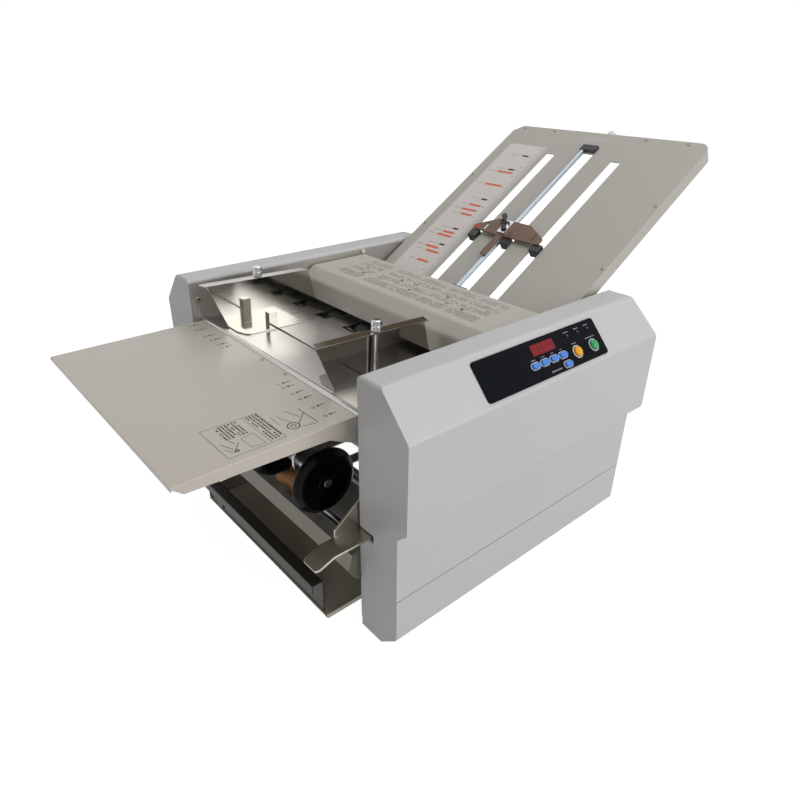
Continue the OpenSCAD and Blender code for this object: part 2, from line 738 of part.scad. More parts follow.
// The stop bar stands on three blocks that run in the slots
bar_n = 5;
bar_t = 2;
bar_up = 38;
bar_y1 = slot_pitch + 6;
module stop_bar() {
    color([0.42, 0.33, 0.28]) on_plate() translate([stop_s, 0, bar_n]) linear_extrude(bar_t) difference() {
        polygon(rounded([[6, -bar_y1 + 4, 3], [18, -bar_y1 + 4, 3], [bar_up, -26, 6], [bar_up + 1, 34, 6],
            [16, bar_y1 + 3, 3], [9, bar_y1 + 1, 3], [6, rod_y + 7, 2], [-36, rod_y + 7, 2], [-36, rod_y - 5, 2],
            [6, rod_y - 5, 2]], 4));
        for (y = [-slot_pitch + 14, slot_pitch - 14]) translate([11, y - 1.6]) square([12, 3.2]);
        translate([22, rod_y]) circle(d = 5);
    }
}

block_clear = 0.5;
module stop_blocks() {
    deep = -sheet_t - paper_gap - sheet_t - 2;
    color([0.05, 0.05, 0.05]) on_plate() for (y = [-slot_pitch, slot_pitch, -4.2]) {
        w = y == -4.2 ? mid_slot_w / 2 - 0.5 : slot_w - 2 * block_clear;
        box([stop_s - 5, y - w / 2, deep], [stop_s + 9, y + w / 2, bar_n]);
    }
}

clamp_s = 22;
clamp_n = 11;
clamp_post = 5;
module stop_clamp() {
    color([0.78, 0.78, 0.78]) on_plate() translate([stop_s + clamp_s, rod_y, 0]) difference() {
        union() {
            // Saddle on the bar, with the tip that presses on the rod
            box([-13, -7, bar_n + bar_t], [13, 7, clamp_n]);
            translate([0, 0, rod_d / 2 + seat_gap]) cylinder(d = 4.4, h = 4);
            translate([0, 0, clamp_n]) cylinder(d = 8, h = clamp_post);
        }
        translate([0, 0, clamp_n + 2]) cylinder(d = 4, h = clamp_post);
    }
}

wing_n = clamp_n + clamp_post + seat_gap;
module clamp_wing() {
    color([0.06, 0.06, 0.06]) on_plate() translate([stop_s + clamp_s, rod_y, wing_n]) {
        difference() {
            cylinder(d = 10, h = 6);
            translate([0, 0, 2]) cylinder(d = 4, h = 5);
        }
        for (s = [0, 180]) rotate([0, 0, s + 35]) translate([4, -2, 0])
            linear_extrude(5) polygon(rounded([[0, 0, 0], [14, -2, 2], [14, 6, 2], [0, 4, 0]]));
    }
    color([0.06, 0.06, 0.06]) on_plate() translate([stop_s + clamp_s, rod_y, clamp_n + 2.3])
        cylinder(d = 3.8, h = wing_n - clamp_n);
}

module trim_knob() {
    color([0.9, 0.9, 0.9]) on_plate() translate([plate_reach, trim_y, trim_n]) rotate([0, 90, 0]) {
        translate([0, 0, seat_gap]) cylinder(d = trim_d, h = trim_l);
        translate([0, 0, -sheet_t - 2]) cylinder(d = 5, h = 4);
    }
}

// ---------- Lower fold plate ----------

module lower_outline() {
    translate([lower_start, -lower_w / 2]) square([lower_l, lower_w]);
}

module lower_slots() {
    for (y = [-slot_pitch, slot_pitch]) translate([lower_start + 30, y - slot_w / 2])
        square([lower_l - 46, slot_w]);
}

module lower_plate() {
    color([0.66, 0.65, 0.62]) on_lower() {
        for (n = [paper_gap / 2, -paper_gap / 2 - sheet_t]) translate([0, 0, n]) linear_extrude(sheet_t)
            difference() {
                lower_outline();
                lower_slots();
            }
        for (s = [-1, 1]) box([lower_start, s > 0 ? lower_w / 2 - 8 : -lower_w / 2, -paper_gap / 2],
            [lower_start + lower_l, s > 0 ? lower_w / 2 : -lower_w / 2 + 8, paper_gap / 2]);
    }
}

module lower_stop() {
    n1 = paper_gap / 2 + sheet_t + seat_gap;
    color([0.05, 0.05, 0.05]) on_lower() {
        for (y = [-slot_pitch, slot_pitch]) box([lower_stop_s, y - slot_w / 2 + block_clear, -n1],
            [lower_stop_s + 12, y + slot_w / 2 - block_clear, n1]);
        box([lower_stop_s, -slot_pitch - slot_w / 2, n1], [lower_stop_s + 12, slot_pitch + slot_w / 2, n1 + 3]);
    }
}

// ---------- Rollers, shafts and gears ----------

module sleeve(c) {
    ring_y(c, roller_d, shaft_d, -roller_len / 2, roller_len / 2);
}

module fold_roller_a() { color([0.10, 0.35, 0.25]) sleeve(roller_a); }
module fold_roller_b() { color([0.10, 0.35, 0.25]) sleeve(roller_b); }
module fold_roller_c() { color([0.10, 0.35, 0.25]) sleeve(roller_c); }
module fold_roller_d() { color([0.10, 0.35, 0.25]) sleeve(roller_d_pos); }

// Angle of the line from one roller to the next, and the tooth phase of each gear in the train
function lead(i) = let (v = roller_centres[i + 1] - roller_centres[i]) atan2(v[1], v[0]);
function phase(i) = i == 0 ? 0 : 2 * lead(i - 1) + 180 + 180 / gear_teeth - phase(i - 1);

module gear(c, turn) {
    pitch_r = pair / 2;
    translate([c[0], gear_y + gear_w, c[1]]) rotate([90, 0, 0]) rotate([0, 0, turn]) difference() {
        union() {
            cylinder(r = pitch_r - gear_tooth, h = gear_w);
            for (i = [0:gear_teeth - 1]) rotate([0, 0, i * 360 / gear_teeth]) linear_extrude(gear_w)
                polygon([[pitch_r - gear_tooth - 1, -1.15], [pitch_r - gear_tooth - 1, 1.15],
                    [pitch_r + gear_tooth - 0.3, 0.6], [pitch_r + gear_tooth - 0.3, -0.6]]);
        }
        translate([0, 0, -1]) cylinder(d = shaft_d - 1, h = gear_w + 2);
    }
}

module roller_shaft(i, far_end) {
    color([0.7, 0.7, 0.72]) {
        bar_y(roller_centres[i], shaft_d, -half_in - frame_t - 3, far_end);
        gear(roller_centres[i], phase(i));
    }
}

pulley_y = gear_y + gear_w + 4 * pod;
pulley_w = 10 * pod;
// From one pulley to the next on the same shaft
pulley_step = pulley_w + 5 * pod;
pulley_flange = 1.2 * pod;
shaft_end = 3 * pod;
belt_t = 2;
small_pulley_d = 20;
drive_pulley_d = 30;

module pulley(c, d) {
    ring_y(c, d, shaft_d - 1, pulley_y, pulley_y + pulley_w);
    for (y = [pulley_y - pulley_flange, pulley_y + pulley_w]) ring_y(c, d + 3, shaft_d - 1, y, y + pulley_flange);
}

module roller_shaft_a() {
    roller_shaft(0, pulley_y + pulley_w + shaft_end);
    color([0.15, 0.15, 0.15]) pulley(roller_a, small_pulley_d);
}
module roller_shaft_b() { roller_shaft(1, gear_y + gear_w + shaft_end / 2); }
module roller_shaft_c() { roller_shaft(2, gear_y + gear_w + shaft_end / 2); }
module roller_shaft_d() {
    roller_shaft(3, pulley_y + pulley_step + pulley_w + shaft_end);
    color([0.15, 0.15, 0.15]) {
        pulley(roller_d_pos, small_pulley_d);
        translate([0, pulley_step, 0]) pulley(roller_d_pos, drive_pulley_d);
    }
}

module feed_shaft() {
    color([0.7, 0.7, 0.72]) bar_y([feed_x, feed_z], shaft_d, -half_in - frame_t - 3, pulley_y + pulley_w + shaft_end);
    color([0.15, 0.15, 0.15]) pulley([feed_x, feed_z], small_pulley_d);
}

module feed_tires() {
    color([0.10, 0.10, 0.10]) for (y = feed_tire_ys) ring_y([feed_x, feed_z], feed_tire_d, shaft_d, y - 10, y + 10);
}

module exit_shaft() {
    color([0.7, 0.7, 0.72]) bar_y(wheel_c, shaft_d, -wheel_pitch - wheel_t / 2 - 1, half_in + frame_t + 4);
}

// One stacker wheel: rounded tread, flat face, hub with three screw bosses
module wheel(y) {
    r = wheel_d / 2;
    translate([wheel_c[0], y, wheel_c[1]]) rotate([90, 0, 0]) difference() {
        rotate_extrude($fn = 96) polygon(rounded([[shaft_d / 2, -wheel_t / 2, 0], [r - 7, -wheel_t / 2, 2],
            [r, -wheel_t / 2 + 6, 6], [r, wheel_t / 2 - 6, 6], [r - 7, wheel_t / 2, 2], [shaft_d / 2, wheel_t / 2, 0]]));
        for (s = [-1, 1]) translate([0, 0, s > 0 ? wheel_t / 2 - 2 : -wheel_t / 2 - 1]) difference() {
            cylinder(r = r - 9, h = 3);
            translate([0, 0, -1]) cylinder(r = 11, h = 5);
        }
    }
}

module exit_wheels() {
    color([0.06, 0.06, 0.07]) for (y = wheel_ys) wheel(y);
}

module exit_roller() {
    color([0.7, 0.7, 0.72]) bar_y(exit_c, shaft_d, cheek_y - 2, pulley_y + pulley_w + shaft_end);
    color([0.15, 0.15, 0.15]) pulley(exit_c, small_pulley_d);
    color([0.80, 0.52, 0.32]) for (y = exit_tire_ys) ring_y(exit_c, exit_tire_d, shaft_d,
        y - exit_tire_w / 2, y + exit_tire_w / 2);
}

// Loop of belt round two pulleys, at y0
module belt_loop(a, b, da, db, y0) {
    v = b - a;
    l = norm(v);
    turn = atan2(v[1], v[0]);
    lean = acos((da - db) / 2 / l);
    ra = da / 2 + 0.15;
    rb = db / 2 + 0.15;
    outer = concat(arc(a, ra + belt_t, turn + lean, turn + 360 - lean, 14),
        arc(b, rb + belt_t, turn - lean, turn + lean, 14));
    inner = concat(arc(a, ra, turn + lean, turn + 360 - lean, 14), arc(b, rb, turn - lean, turn + lean, 14));
    along_y(y0, y0 + pulley_w - 1.4 * pod) difference() {
        polygon(outer);
        polygon(inner);
    }
}

motor_c = [cover_l - 90, 150];
motor_d = 56;
motor_shaft_d = 8;
motor_end = half_in + frame_t + 26 * pod;
module drive_belt() {
    y0 = pulley_y + 0.7 * pod;
    color([0.12, 0.12, 0.12]) {
        belt_loop(roller_a, [feed_x, feed_z], small_pulley_d, small_pulley_d, y0);
        belt_loop(roller_d_pos, exit_c, small_pulley_d, small_pulley_d, y0);
        belt_loop(roller_d_pos, motor_c, drive_pulley_d, small_pulley_d, y0 + pulley_step);
    }
}

module drive_motor() {
    color([0.35, 0.36, 0.38]) difference() {
        union() {
            bar_y(motor_c, motor_d, half_in + frame_t, motor_end);
            bar_y(motor_c, 20, motor_end - 1, motor_end + 3 * pod);
        }
        bar_y(motor_c, motor_shaft_d + 2 * bearing_gap, motor_end - 12 * pod, motor_end + 5);
    }
}

// The motor's shaft and its small pulley
module motor_pulley() {
    color([0.7, 0.7, 0.72]) bar_y(motor_c, motor_shaft_d, motor_end - 12 * pod + seat_gap,
        pulley_y + pulley_step + pulley_w + shaft_end);
    color([0.15, 0.15, 0.15]) translate([0, pulley_step, 0])
        ring_y(motor_c, small_pulley_d, motor_shaft_d - 1, pulley_y, pulley_y + pulley_w);
}

// ---------- Exit comb, tray and fence ----------

cheek_y = -half_in + 3;
module exit_comb() {
    low = comb_top + comb_drop * [-0.3, -0.954];
    color([0.60, 0.60, 0.56]) difference() {
        union() {
            // Steep strip between the two cheeks
            along_y(-half_in, half_in) polygon([comb_top, comb_top + [1.6, -0.6], low + [1.6, -0.6], low]);
            // Fingers that lead the sheets off the exit roller
            for (y = finger_ys) along_y(y - finger_w / 2, y + finger_w / 2)
                polygon([comb_top, finger_tip, finger_tip + [0.4, -1.4], comb_top + [1.4, -1.4]]);
            // Tie under the fingers, behind the exit roller's tires
            along_y(-half_in, half_in) polygon([[low[0], low[1]], [low[0] + 10, low[1] - 14],
                [low[0] + 11.5, low[1] - 13], [low[0] + 1.6, low[1] - 0.6]]);
            for (s = [-1, 1]) along_y(s > 0 ? half_in - 3 : -half_in, s > 0 ? half_in : -half_in + 3)
                polygon(rounded([comb_top, comb_top + [16, 2], comb_top + [34, -4], [36, 60], [14, 56],
                    [low[0] + 8, low[1] - 14], low]));
        }
        bar_y(exit_c, shaft_d + 1, -half_in - 1, -half_in + 4);
        bar_y(exit_c, bearing_d + 1, half_in - 4, half_in + 1);
    }
}

tray_t = 1.5;
tray_x0 = -26;
tray_side = 6;
tray_wall = 22;
tray_wall_x1 = 34;
module exit_tray() {
    y1 = tray_w / 2;
    color([0.45, 0.45, 0.42]) {
        box([tray_x0, -y1, 0], [tray_x0 + tray_l, y1, tray_t]);
        for (s = [-1, 1]) box([tray_x0, s > 0 ? y1 - tray_t : -y1, tray_t],
            [tray_x0 + tray_l, s > 0 ? y1 : -y1 + tray_t, tray_side]);
        // Higher wall at the far side, in front of the rail
        box([tray_x0, y1 - tray_t, tray_t], [tray_wall_x1, y1, tray_wall]);
        // Pads that the tray slides on
        for (s = [-1, 1], x = [tray_x0 + 7, tray_x0 + tray_l - 10])
            translate([x, s * (y1 - 12), -foot_h]) cylinder(d = 10, h = foot_h);
    }
}

fence_out = 14;
fence_lip = 13;
fence_t = 1.5;
module tray_fence() {
    x = tray_x0 + fence_t;
    color([0.25, 0.25, 0.24]) {
        along_y(-fence_w / 2, fence_w / 2) polygon(rounded([[x, tray_t, 0], [x, fence_h - fence_t, 0],
            [x - fence_out + fence_t, fence_h - fence_t, 0], [x - fence_out + fence_t, fence_h - fence_lip, 0],
            [x - fence_out, fence_h - fence_lip, 0], [x - fence_out, fence_h, 1], [x + fence_t, fence_h, 1],
            [x + fence_t, tray_t, 0]]));
        // Finger nub under the lip
        box([x - fence_out, 80, fence_h - fence_lip - 8], [x - fence_out + 3, 96, fence_h - fence_lip]);
    }
}

// ---------- Release lever ----------

module release_lever() {
    p = lever_pivot;
    top = p[1] + lever_t / 2;
    color([0.62, 0.62, 0.60]) difference() {
        union() {
            along_y(lever_y0, lever_y1) polygon([[p[0], top - lever_t], [p[0], top], [-48, top], [-71, top - 8],
                [-70, top - 8 - lever_t], [-47.5, top - lever_t]]);
            // Upturned side flange
            along_y(lever_y1 - lever_t, lever_y1) polygon(rounded([[p[0], top - 1, 0], [-31, top - 1, 0],
                [-31, top + 9, 3], [4, top + 36, 3], [p[0] + 4, top + 36, 3]]));
            bar_y(p, lever_hub_d, lever_y0, lever_y1);
        }
        bar_y(p, 6 + 2 * bearing_gap, lever_y0 - 1, lever_y1 - 4 + 0.3);
        // Rounded corners of the finger tab
        for (s = [-1, 1]) translate([-64, s > 0 ? lever_y1 - 8 : lever_y0 + 8, 100]) difference() {
            translate([-12, s > 0 ? 0 : -9, 0]) cube([12, 9, 60]);
            cylinder(r = 8, h = 60);
        }
    }
}

// ---------- Electrical parts ----------

inlet_y = half_w - 34;
inlet_z = 230;
inlet_w = 30;
inlet_h = 50;
inlet_x = cover_l;
module power_inlet() {
    color([0.06, 0.06, 0.06]) difference() {
        union() {
            box([inlet_x - 24, inlet_y - inlet_w / 2 + 0.3, inlet_z - inlet_h / 2 + 0.3],
                [inlet_x, inlet_y + inlet_w / 2 - 0.3, inlet_z + inlet_h / 2 - 0.3]);
            box([inlet_x, inlet_y - inlet_w / 2 - 4, inlet_z - inlet_h / 2 - 4],
                [inlet_x + 2, inlet_y + inlet_w / 2 + 4, inlet_z + inlet_h / 2 + 4]);
        }
        box([inlet_x - 16, inlet_y - 12, inlet_z - 21], [inlet_x + 3, inlet_y + 12, inlet_z - 3]);
        box([inlet_x - 10, inlet_y - 11, inlet_z + 3], [inlet_x + 3, inlet_y + 11, inlet_z + 19]);
    }
    color([0.8, 0.8, 0.8]) for (y = [-7, 0, 7]) box([inlet_x - 16, inlet_y + y - 0.9, inlet_z - 14],
        [inlet_x - 5, inlet_y + y + 0.9, inlet_z - 10]);
}

rocker_c = [inlet_x - 3, inlet_z + 11];
module power_rocker() {
    color([0.5, 0.06, 0.05]) along_y(inlet_y - 10.4, inlet_y + 10.4) polygon([[inlet_x - 6, inlet_z + 5.5],
        [inlet_x + 1, inlet_z + 4.5], [inlet_x + 2.5, inlet_z + 11], [inlet_x + 4, inlet_z + 17],
        [inlet_x - 5, inlet_z + 16.5]]);
    color([0.5, 0.06, 0.05]) bar_y(rocker_c, 3, inlet_y - 10.9, inlet_y + 10.9);
}

// Controls, as their place along the panel and down the slope
count_keys = [for (i = [0:3]) [192.3 + i * key_pitch, 36.4]];
set_key_at = [241, 48];
stop_at = [265.1, 39.3];
start_at = [296.1, 39.3];
led_at = [for (i = [0:2]) [260.5 + i * 19, 18.2]];
display_at = [195.5, 13.8];
display_size = [38.5, 12.8];
key_size = [12, 5.8];
key_travel = 1.2;
control_gap = 0.25;

module on_control(at) {
    on_panel() translate([at[0], -at[1], panel_thick]) children();
}

module key_shape(size, h) {
    r = size[1] / 2 - 0.15;
    linear_extrude(h) polygon(rounded([[-size[0] / 2, -size[1] / 2, r], [-size[0] / 2, size[1] / 2, r],
        [size[0] / 2, size[1] / 2, r], [size[0] / 2, -size[1] / 2, r]]));
}

module control_panel() {
    hole = key_size + 2 * control_gap * [1, 1];
    color([0.10, 0.11, 0.12]) difference() {
        union() {
            on_panel() translate([panel_x, -panel_t0 - panel_h, 0]) linear_extrude(panel_thick)
                polygon(rounded([[0, 0, 4], [0, panel_h, 4], [panel_l, panel_h, 4], [panel_l, 0, 4]]));
            // Circuit board behind the panel, on two posts
            on_panel() {
                box([panel_x + 70, -panel_t0 - panel_h + 11, -9], [panel_x + panel_l - 7, -panel_t0 - 7, -7.4]);
                for (x = [panel_x + 74, panel_x + panel_l - 11]) box([x - 2, -panel_t0 - 11, -7.4],
                    [x + 2, -panel_t0 - 7.5, 0]);
            }
        }
        for (k = concat(count_keys, [set_key_at])) on_control(k) translate([0, 0, -5]) key_shape(hole, 6);
        for (k = [stop_at, start_at]) on_control(k) translate([0, 0, -5])
            cylinder(d = button_d + 2 * control_gap, h = 6);
    }
    // Indicator lamps
    color([0.35, 0.35, 0.36]) for (k = led_at) on_control(k) cylinder(d = 3.4, h = 0.8);
}

module display_window() {
    color([0.55, 0.10, 0.12]) on_control(display_at) translate([0, -display_size[1], 0])
        cube([display_size[0], display_size[1], 0.8]);
}

module key(at) {
    color([0.35, 0.60, 0.90]) on_control(at) {
        translate([0, 0, -4]) key_shape(key_size, 6.6);
        translate([0, 0, -panel_thick - 7.4 + key_travel + 0.6]) cylinder(d = 3, h = 5);
    }
}

module dome(at, shade) {
    color(shade) on_control(at) {
        translate([0, 0, -4]) cylinder(d = button_d, h = 6);
        translate([0, 0, 2]) intersection() {
            translate([0, 0, -6]) sphere(r = sqrt(36 + button_d * button_d / 4) , $fn = 64);
            cylinder(d = button_d, h = 5);
        }
        translate([0, 0, -panel_thick - 7.4 + key_travel + 0.6]) cylinder(d = 4, h = 5);
    }
}

module count_key_1() { key(count_keys[0]); }
module count_key_2() { key(count_keys[1]); }
module count_key_3() { key(count_keys[2]); }
module count_key_4() { key(count_keys[3]); }
module set_key() { key(set_key_at); }
module stop_button() { dome(stop_at, [0.95, 0.68, 0.10]); }
module start_button() { dome(start_at, [0.15, 0.62, 0.38]); }

// ---------- Screws ----------

// Places of the plate's screws, from its end and its sides
end_screws = [plate_reach - 6, 0.88 * plate_w / 2, 0.52 * plate_w / 2, -0.44 * plate_w / 2, -0.82 * plate_w / 2];
side_screws = [0.57 * plate_reach, 0.165 * plate_reach];
plate_screw_at = concat([for (i = [1:4]) [end_screws[0], end_screws[i]]],
    [for (x = side_screws, s = [-1, 1]) [x, s * (plate_w / 2 - 5)]]);
module screws() {
    color([0.62, 0.60, 0.52]) {
        for (p = plate_screw_at) on_plate() translate([p[0], p[1], 0]) cylinder(d = 4.4, h = 1.6);
        for (y = [7, -44]) translate([table_x1 - 4, y, table_z]) cylinder(d = 4.4, h = 1);
        // Dome screws on the frame plates beside the deck
        for (s = [-1, 1]) translate([10, s * half_in, 296]) rotate([s * 90, 0, 0]) cylinder(d = 8, h = 2);
    }
}

place() base_pan();
place() near_frame();
place() far_frame();
place() near_cover();
place() far_cover();
place() plinths();
place() rubber_feet();
place() tie_rods();
place() deck_plate();
place() feed_table();
place() screws();
place() bridge_cover();
place() locating_pins();
place() separator_pad();
place() feed_shaft();
place() feed_tires();
place() near_guide();
place() far_guide();
place() near_guide_knob();
place() far_guide_knob();
place() upper_plate();
place() upper_plate_back();
place() stop_rod();
place() stop_bar();
place() stop_blocks();
place() stop_clamp();
place() clamp_wing();
place() trim_knob();
place() lower_plate();
place() lower_stop();
place() fold_roller_a();
place() fold_roller_b();
place() fold_roller_c();
place() fold_roller_d();
place() roller_shaft_a();
place() roller_shaft_b();
place() roller_shaft_c();
place() roller_shaft_d();
place() shaft_bearings();
place() exit_shaft();
place() exit_wheels();
place() exit_roller();
place() exit_comb();
place() exit_tray();
place() tray_fence();
place() release_lever();
place() drive_motor();
place() motor_pulley();
place() drive_belt();
place() power_inlet();
place() power_rocker();
place() control_panel();
place() display_window();
place() count_key_1();
place() count_key_2();
place() count_key_3();
place() count_key_4();
place() set_key();
place() stop_button();
place() start_button();
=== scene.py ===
"""Looks of a desktop paper folding machine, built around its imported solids.

Places are given in the machine's own millimetres: X runs along the paper path and is 0 at the
covers' left end, Y is 0 at the machine's middle, and Z is 0 at the plinths' lower edge. The studio's
lamps and floor are in metres of the shared frame.
"""

import json
import logging
import math
from dataclasses import dataclass
from enum import Enum
from typing import Callable, Mapping, Sequence

import bmesh
import bpy
from mathutils import Matrix, Vector

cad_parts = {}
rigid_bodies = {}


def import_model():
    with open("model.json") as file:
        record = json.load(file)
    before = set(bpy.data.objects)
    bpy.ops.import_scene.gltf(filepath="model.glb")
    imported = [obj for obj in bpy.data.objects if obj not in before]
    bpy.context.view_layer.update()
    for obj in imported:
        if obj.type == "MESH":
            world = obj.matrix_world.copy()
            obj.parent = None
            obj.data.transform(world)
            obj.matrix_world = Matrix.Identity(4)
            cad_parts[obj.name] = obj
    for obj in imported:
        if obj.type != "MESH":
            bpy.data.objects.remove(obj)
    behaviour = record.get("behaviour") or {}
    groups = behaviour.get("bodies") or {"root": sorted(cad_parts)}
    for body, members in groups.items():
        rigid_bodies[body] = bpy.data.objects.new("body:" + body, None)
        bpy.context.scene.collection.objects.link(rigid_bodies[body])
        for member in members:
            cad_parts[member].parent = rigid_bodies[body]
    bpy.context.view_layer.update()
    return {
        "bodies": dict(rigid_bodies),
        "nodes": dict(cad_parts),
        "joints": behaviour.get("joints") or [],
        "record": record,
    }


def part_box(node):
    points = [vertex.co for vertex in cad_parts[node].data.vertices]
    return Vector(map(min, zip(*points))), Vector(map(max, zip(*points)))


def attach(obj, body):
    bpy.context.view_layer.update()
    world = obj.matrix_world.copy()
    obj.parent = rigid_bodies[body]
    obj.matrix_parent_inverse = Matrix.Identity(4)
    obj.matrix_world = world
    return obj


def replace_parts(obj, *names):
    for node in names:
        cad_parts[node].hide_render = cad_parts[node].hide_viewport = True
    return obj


LOG = logging.getLogger("folding_machine")
MM = 0.001
TABLE_TOP = 270.0
PLATE_ORIGIN = (370.5, 0.0, 318.7)
PLATE_SLOPE_DEG = 32.0
GEARS_FROM_Y = 199.0
MERGE_M = 2e-6
FLAT_DEG = 0.4
CREASE_DEG = 32.0
MOULDED_CREASE_DEG = 24.0
SKETCH_CREASE_DEG = 35.0
BEVEL_STEPS = 2
LEVEL_WEIGHT = 90
NOISE_MEAN = 0.5
FINE_DETAIL = 2.0
WIDE_DETAIL = 4.0
WIDE_SCALE = 9.0
SCRATCH_DETAIL = 3.0
STROKE_RANGE = (0.5, 0.93)
ACROSS_DEG = 90.0
PURE_WHITE = (1.0, 1.0, 1.0, 1.0)
Point = tuple[float, float]
Place = tuple[float, float, float]
Bar = tuple[float, float, float]
Sockets = Mapping[str, bpy.types.NodeSocket]


def linear(channel: float) -> float:
    """Returns the linear value of one display channel from 0 to 255, by the sRGB curve."""
    value = channel / 255.0
    return value / 12.92 if value <= 0.04045 else ((value + 0.055) / 1.055) ** 2.4


def colour(red: float, green: float, blue: float) -> tuple[float, float, float, float]:
    """Returns a linear colour with full alpha from display channels of 0 to 255."""
    return (linear(red), linear(green), linear(blue), 1.0)


# ---------- Node trees ----------


def feed(tree: bpy.types.NodeTree, node: bpy.types.Node, inputs: Mapping[str | int, object]) -> None:
    """Gives inputs of a node their values or links.

    Args:
        tree: the tree that the node is in.
        node: the node.
        inputs: a value or a socket for each input, by its name or number.
    """
    for key, value in inputs.items():
        if isinstance(value, bpy.types.NodeSocket):
            tree.links.new(value, node.inputs[key])
        else:
            node.inputs[key].default_value = value


def add_node(tree: bpy.types.NodeTree, kind: str, inputs: Mapping[str | int, object] | None = None,
             **fields: object) -> bpy.types.Node:
    """Adds a node to a tree.

    Args:
        tree: the tree that it goes into.
        kind: Blender's name of the node type.
        inputs: a value or a socket for each input, by its name or number.
        fields: the node's own settings, such as its operation.

    Returns:
        The new node.
    """
    node = tree.nodes.new(kind)
    for field, value in fields.items():
        setattr(node, field, value)
    feed(tree, node, inputs or {})
    return node


def add_math(tree: bpy.types.NodeTree, operation: str, *values: object) -> bpy.types.NodeSocket:
    """Adds a math node with a socket or a number for each input, and returns its output socket."""
    return add_node(tree, "ShaderNodeMath", dict(enumerate(values)), operation=operation).outputs[0]


# ---------- Finishes ----------


class Grain(Enum):
    """What the surface of a finish is like close up."""

    PLAIN = "plain"
    PEEL = "peel"
    BRUSHED_X = "brushed along X"
    BRUSHED_Y = "brushed along Y"
    MOULDED = "moulded"


STRETCH = {Grain.BRUSHED_X: (1.0, 40.0, 40.0), Grain.BRUSHED_Y: (40.0, 1.0, 40.0)}


class Effects:
    """Shader node groups that several finishes share."""

    _made: dict[str, bpy.types.ShaderNodeTree] = {}

    @classmethod
    def _group(cls, name: str, inputs: Mapping[str, object], outputs: Sequence[str],
               fill: Callable[[bpy.types.ShaderNodeTree, Sockets], Sockets]) -> bpy.types.ShaderNodeTree:
        """Makes a node group with named sockets once.

        Args:
            name: the group's name.
            inputs: the default of each input, which is a colour, a vector or a number.
            outputs: the outputs' names.
            fill: adds the nodes and returns the socket for each output.

        Returns:
            The group's tree.
        """
        if name in cls._made:
            return cls._made[name]
        tree = bpy.data.node_groups.new(name, "ShaderNodeTree")
        for label, default in inputs.items():
            kind = "Float" if isinstance(default, float) else "Color" if label == "Color" else "Vector"
            socket = tree.interface.new_socket(name=label, in_out="INPUT", socket_type=f"NodeSocket{kind}")
            socket.default_value = default
        for label in outputs:
            kind = "Color" if label == "Color" else "Float"
            tree.interface.new_socket(name=label, in_out="OUTPUT", socket_type=f"NodeSocket{kind}")
        given, out = tree.nodes.new("NodeGroupInput"), tree.nodes.new("NodeGroupOutput")
        feed(tree, out, fill(tree, given.outputs))
        cls._made[name] = tree
        return tree

    @classmethod
    def surface(cls) -> bpy.types.ShaderNodeTree:
        """Makes the effect of coated and moulded surfaces: fine grain and faint mottling.

        Returns:
            The group's tree.
        """

        def fill(tree: bpy.types.ShaderNodeTree, given: Sockets) -> Sockets:
            """Adds the group's nodes.

            Args:
                tree: the group's tree.
                given: its inputs' sockets.

            Returns:
                The socket for each output.
            """
            place = add_node(tree, "ShaderNodeTexCoord").outputs["Object"]
            fine = add_node(tree, "ShaderNodeTexNoise", {"Vector": place, "Scale": given["Scale"],
                                                         "Detail": FINE_DETAIL})
            wide = add_node(tree, "ShaderNodeTexNoise", {"Vector": place, "Scale": WIDE_SCALE,
                                                         "Detail": WIDE_DETAIL})
            swing = add_math(tree, "SUBTRACT", wide.outputs["Fac"], NOISE_MEAN)
            shade = add_math(tree, "MULTIPLY_ADD", swing, given["Mottling"], 1.0)
            tint = add_node(tree, "ShaderNodeVectorMath", {0: given["Color"], "Scale": shade}, operation="SCALE")
            rough = add_math(tree, "MULTIPLY_ADD", swing, given["Spread"], given["Roughness"])
            return {"Color": tint.outputs["Vector"], "Roughness": rough, "Height": fine.outputs["Fac"]}

        return cls._group("surface_grain", {"Color": (0.5, 0.5, 0.5, 1.0), "Scale": 700.0, "Mottling": 0.04,
                                            "Roughness": 0.5, "Spread": 0.06}, ("Color", "Roughness", "Height"), fill)

    @classmethod
    def brushed(cls) -> bpy.types.ShaderNodeTree:
        """Makes the effect of brushed and polished steel: long fine scratches one way.

        Returns:
            The group's tree.
        """

        def fill(tree: bpy.types.ShaderNodeTree, given: Sockets) -> Sockets:
            """Adds the group's nodes.

            Args:
                tree: the group's tree.
                given: its inputs' sockets.

            Returns:
                The socket for each output.
            """
            place = add_node(tree, "ShaderNodeTexCoord").outputs["Object"]
            stretch = add_node(tree, "ShaderNodeVectorMath", {0: place, 1: given["Stretch"]}, operation="MULTIPLY")
            noise = add_node(tree, "ShaderNodeTexNoise", {"Vector": stretch.outputs["Vector"],
                                                          "Scale": given["Scale"], "Detail": SCRATCH_DETAIL})
            swing = add_math(tree, "SUBTRACT", noise.outputs["Fac"], NOISE_MEAN)
            rough = add_math(tree, "MULTIPLY_ADD", swing, given["Spread"], given["Roughness"])
            return {"Roughness": rough, "Height": noise.outputs["Fac"]}

        return cls._group("brushed_steel", {"Stretch": STRETCH[Grain.BRUSHED_X], "Scale": 60.0, "Roughness": 0.25,
                                            "Spread": 0.15}, ("Roughness", "Height"), fill)


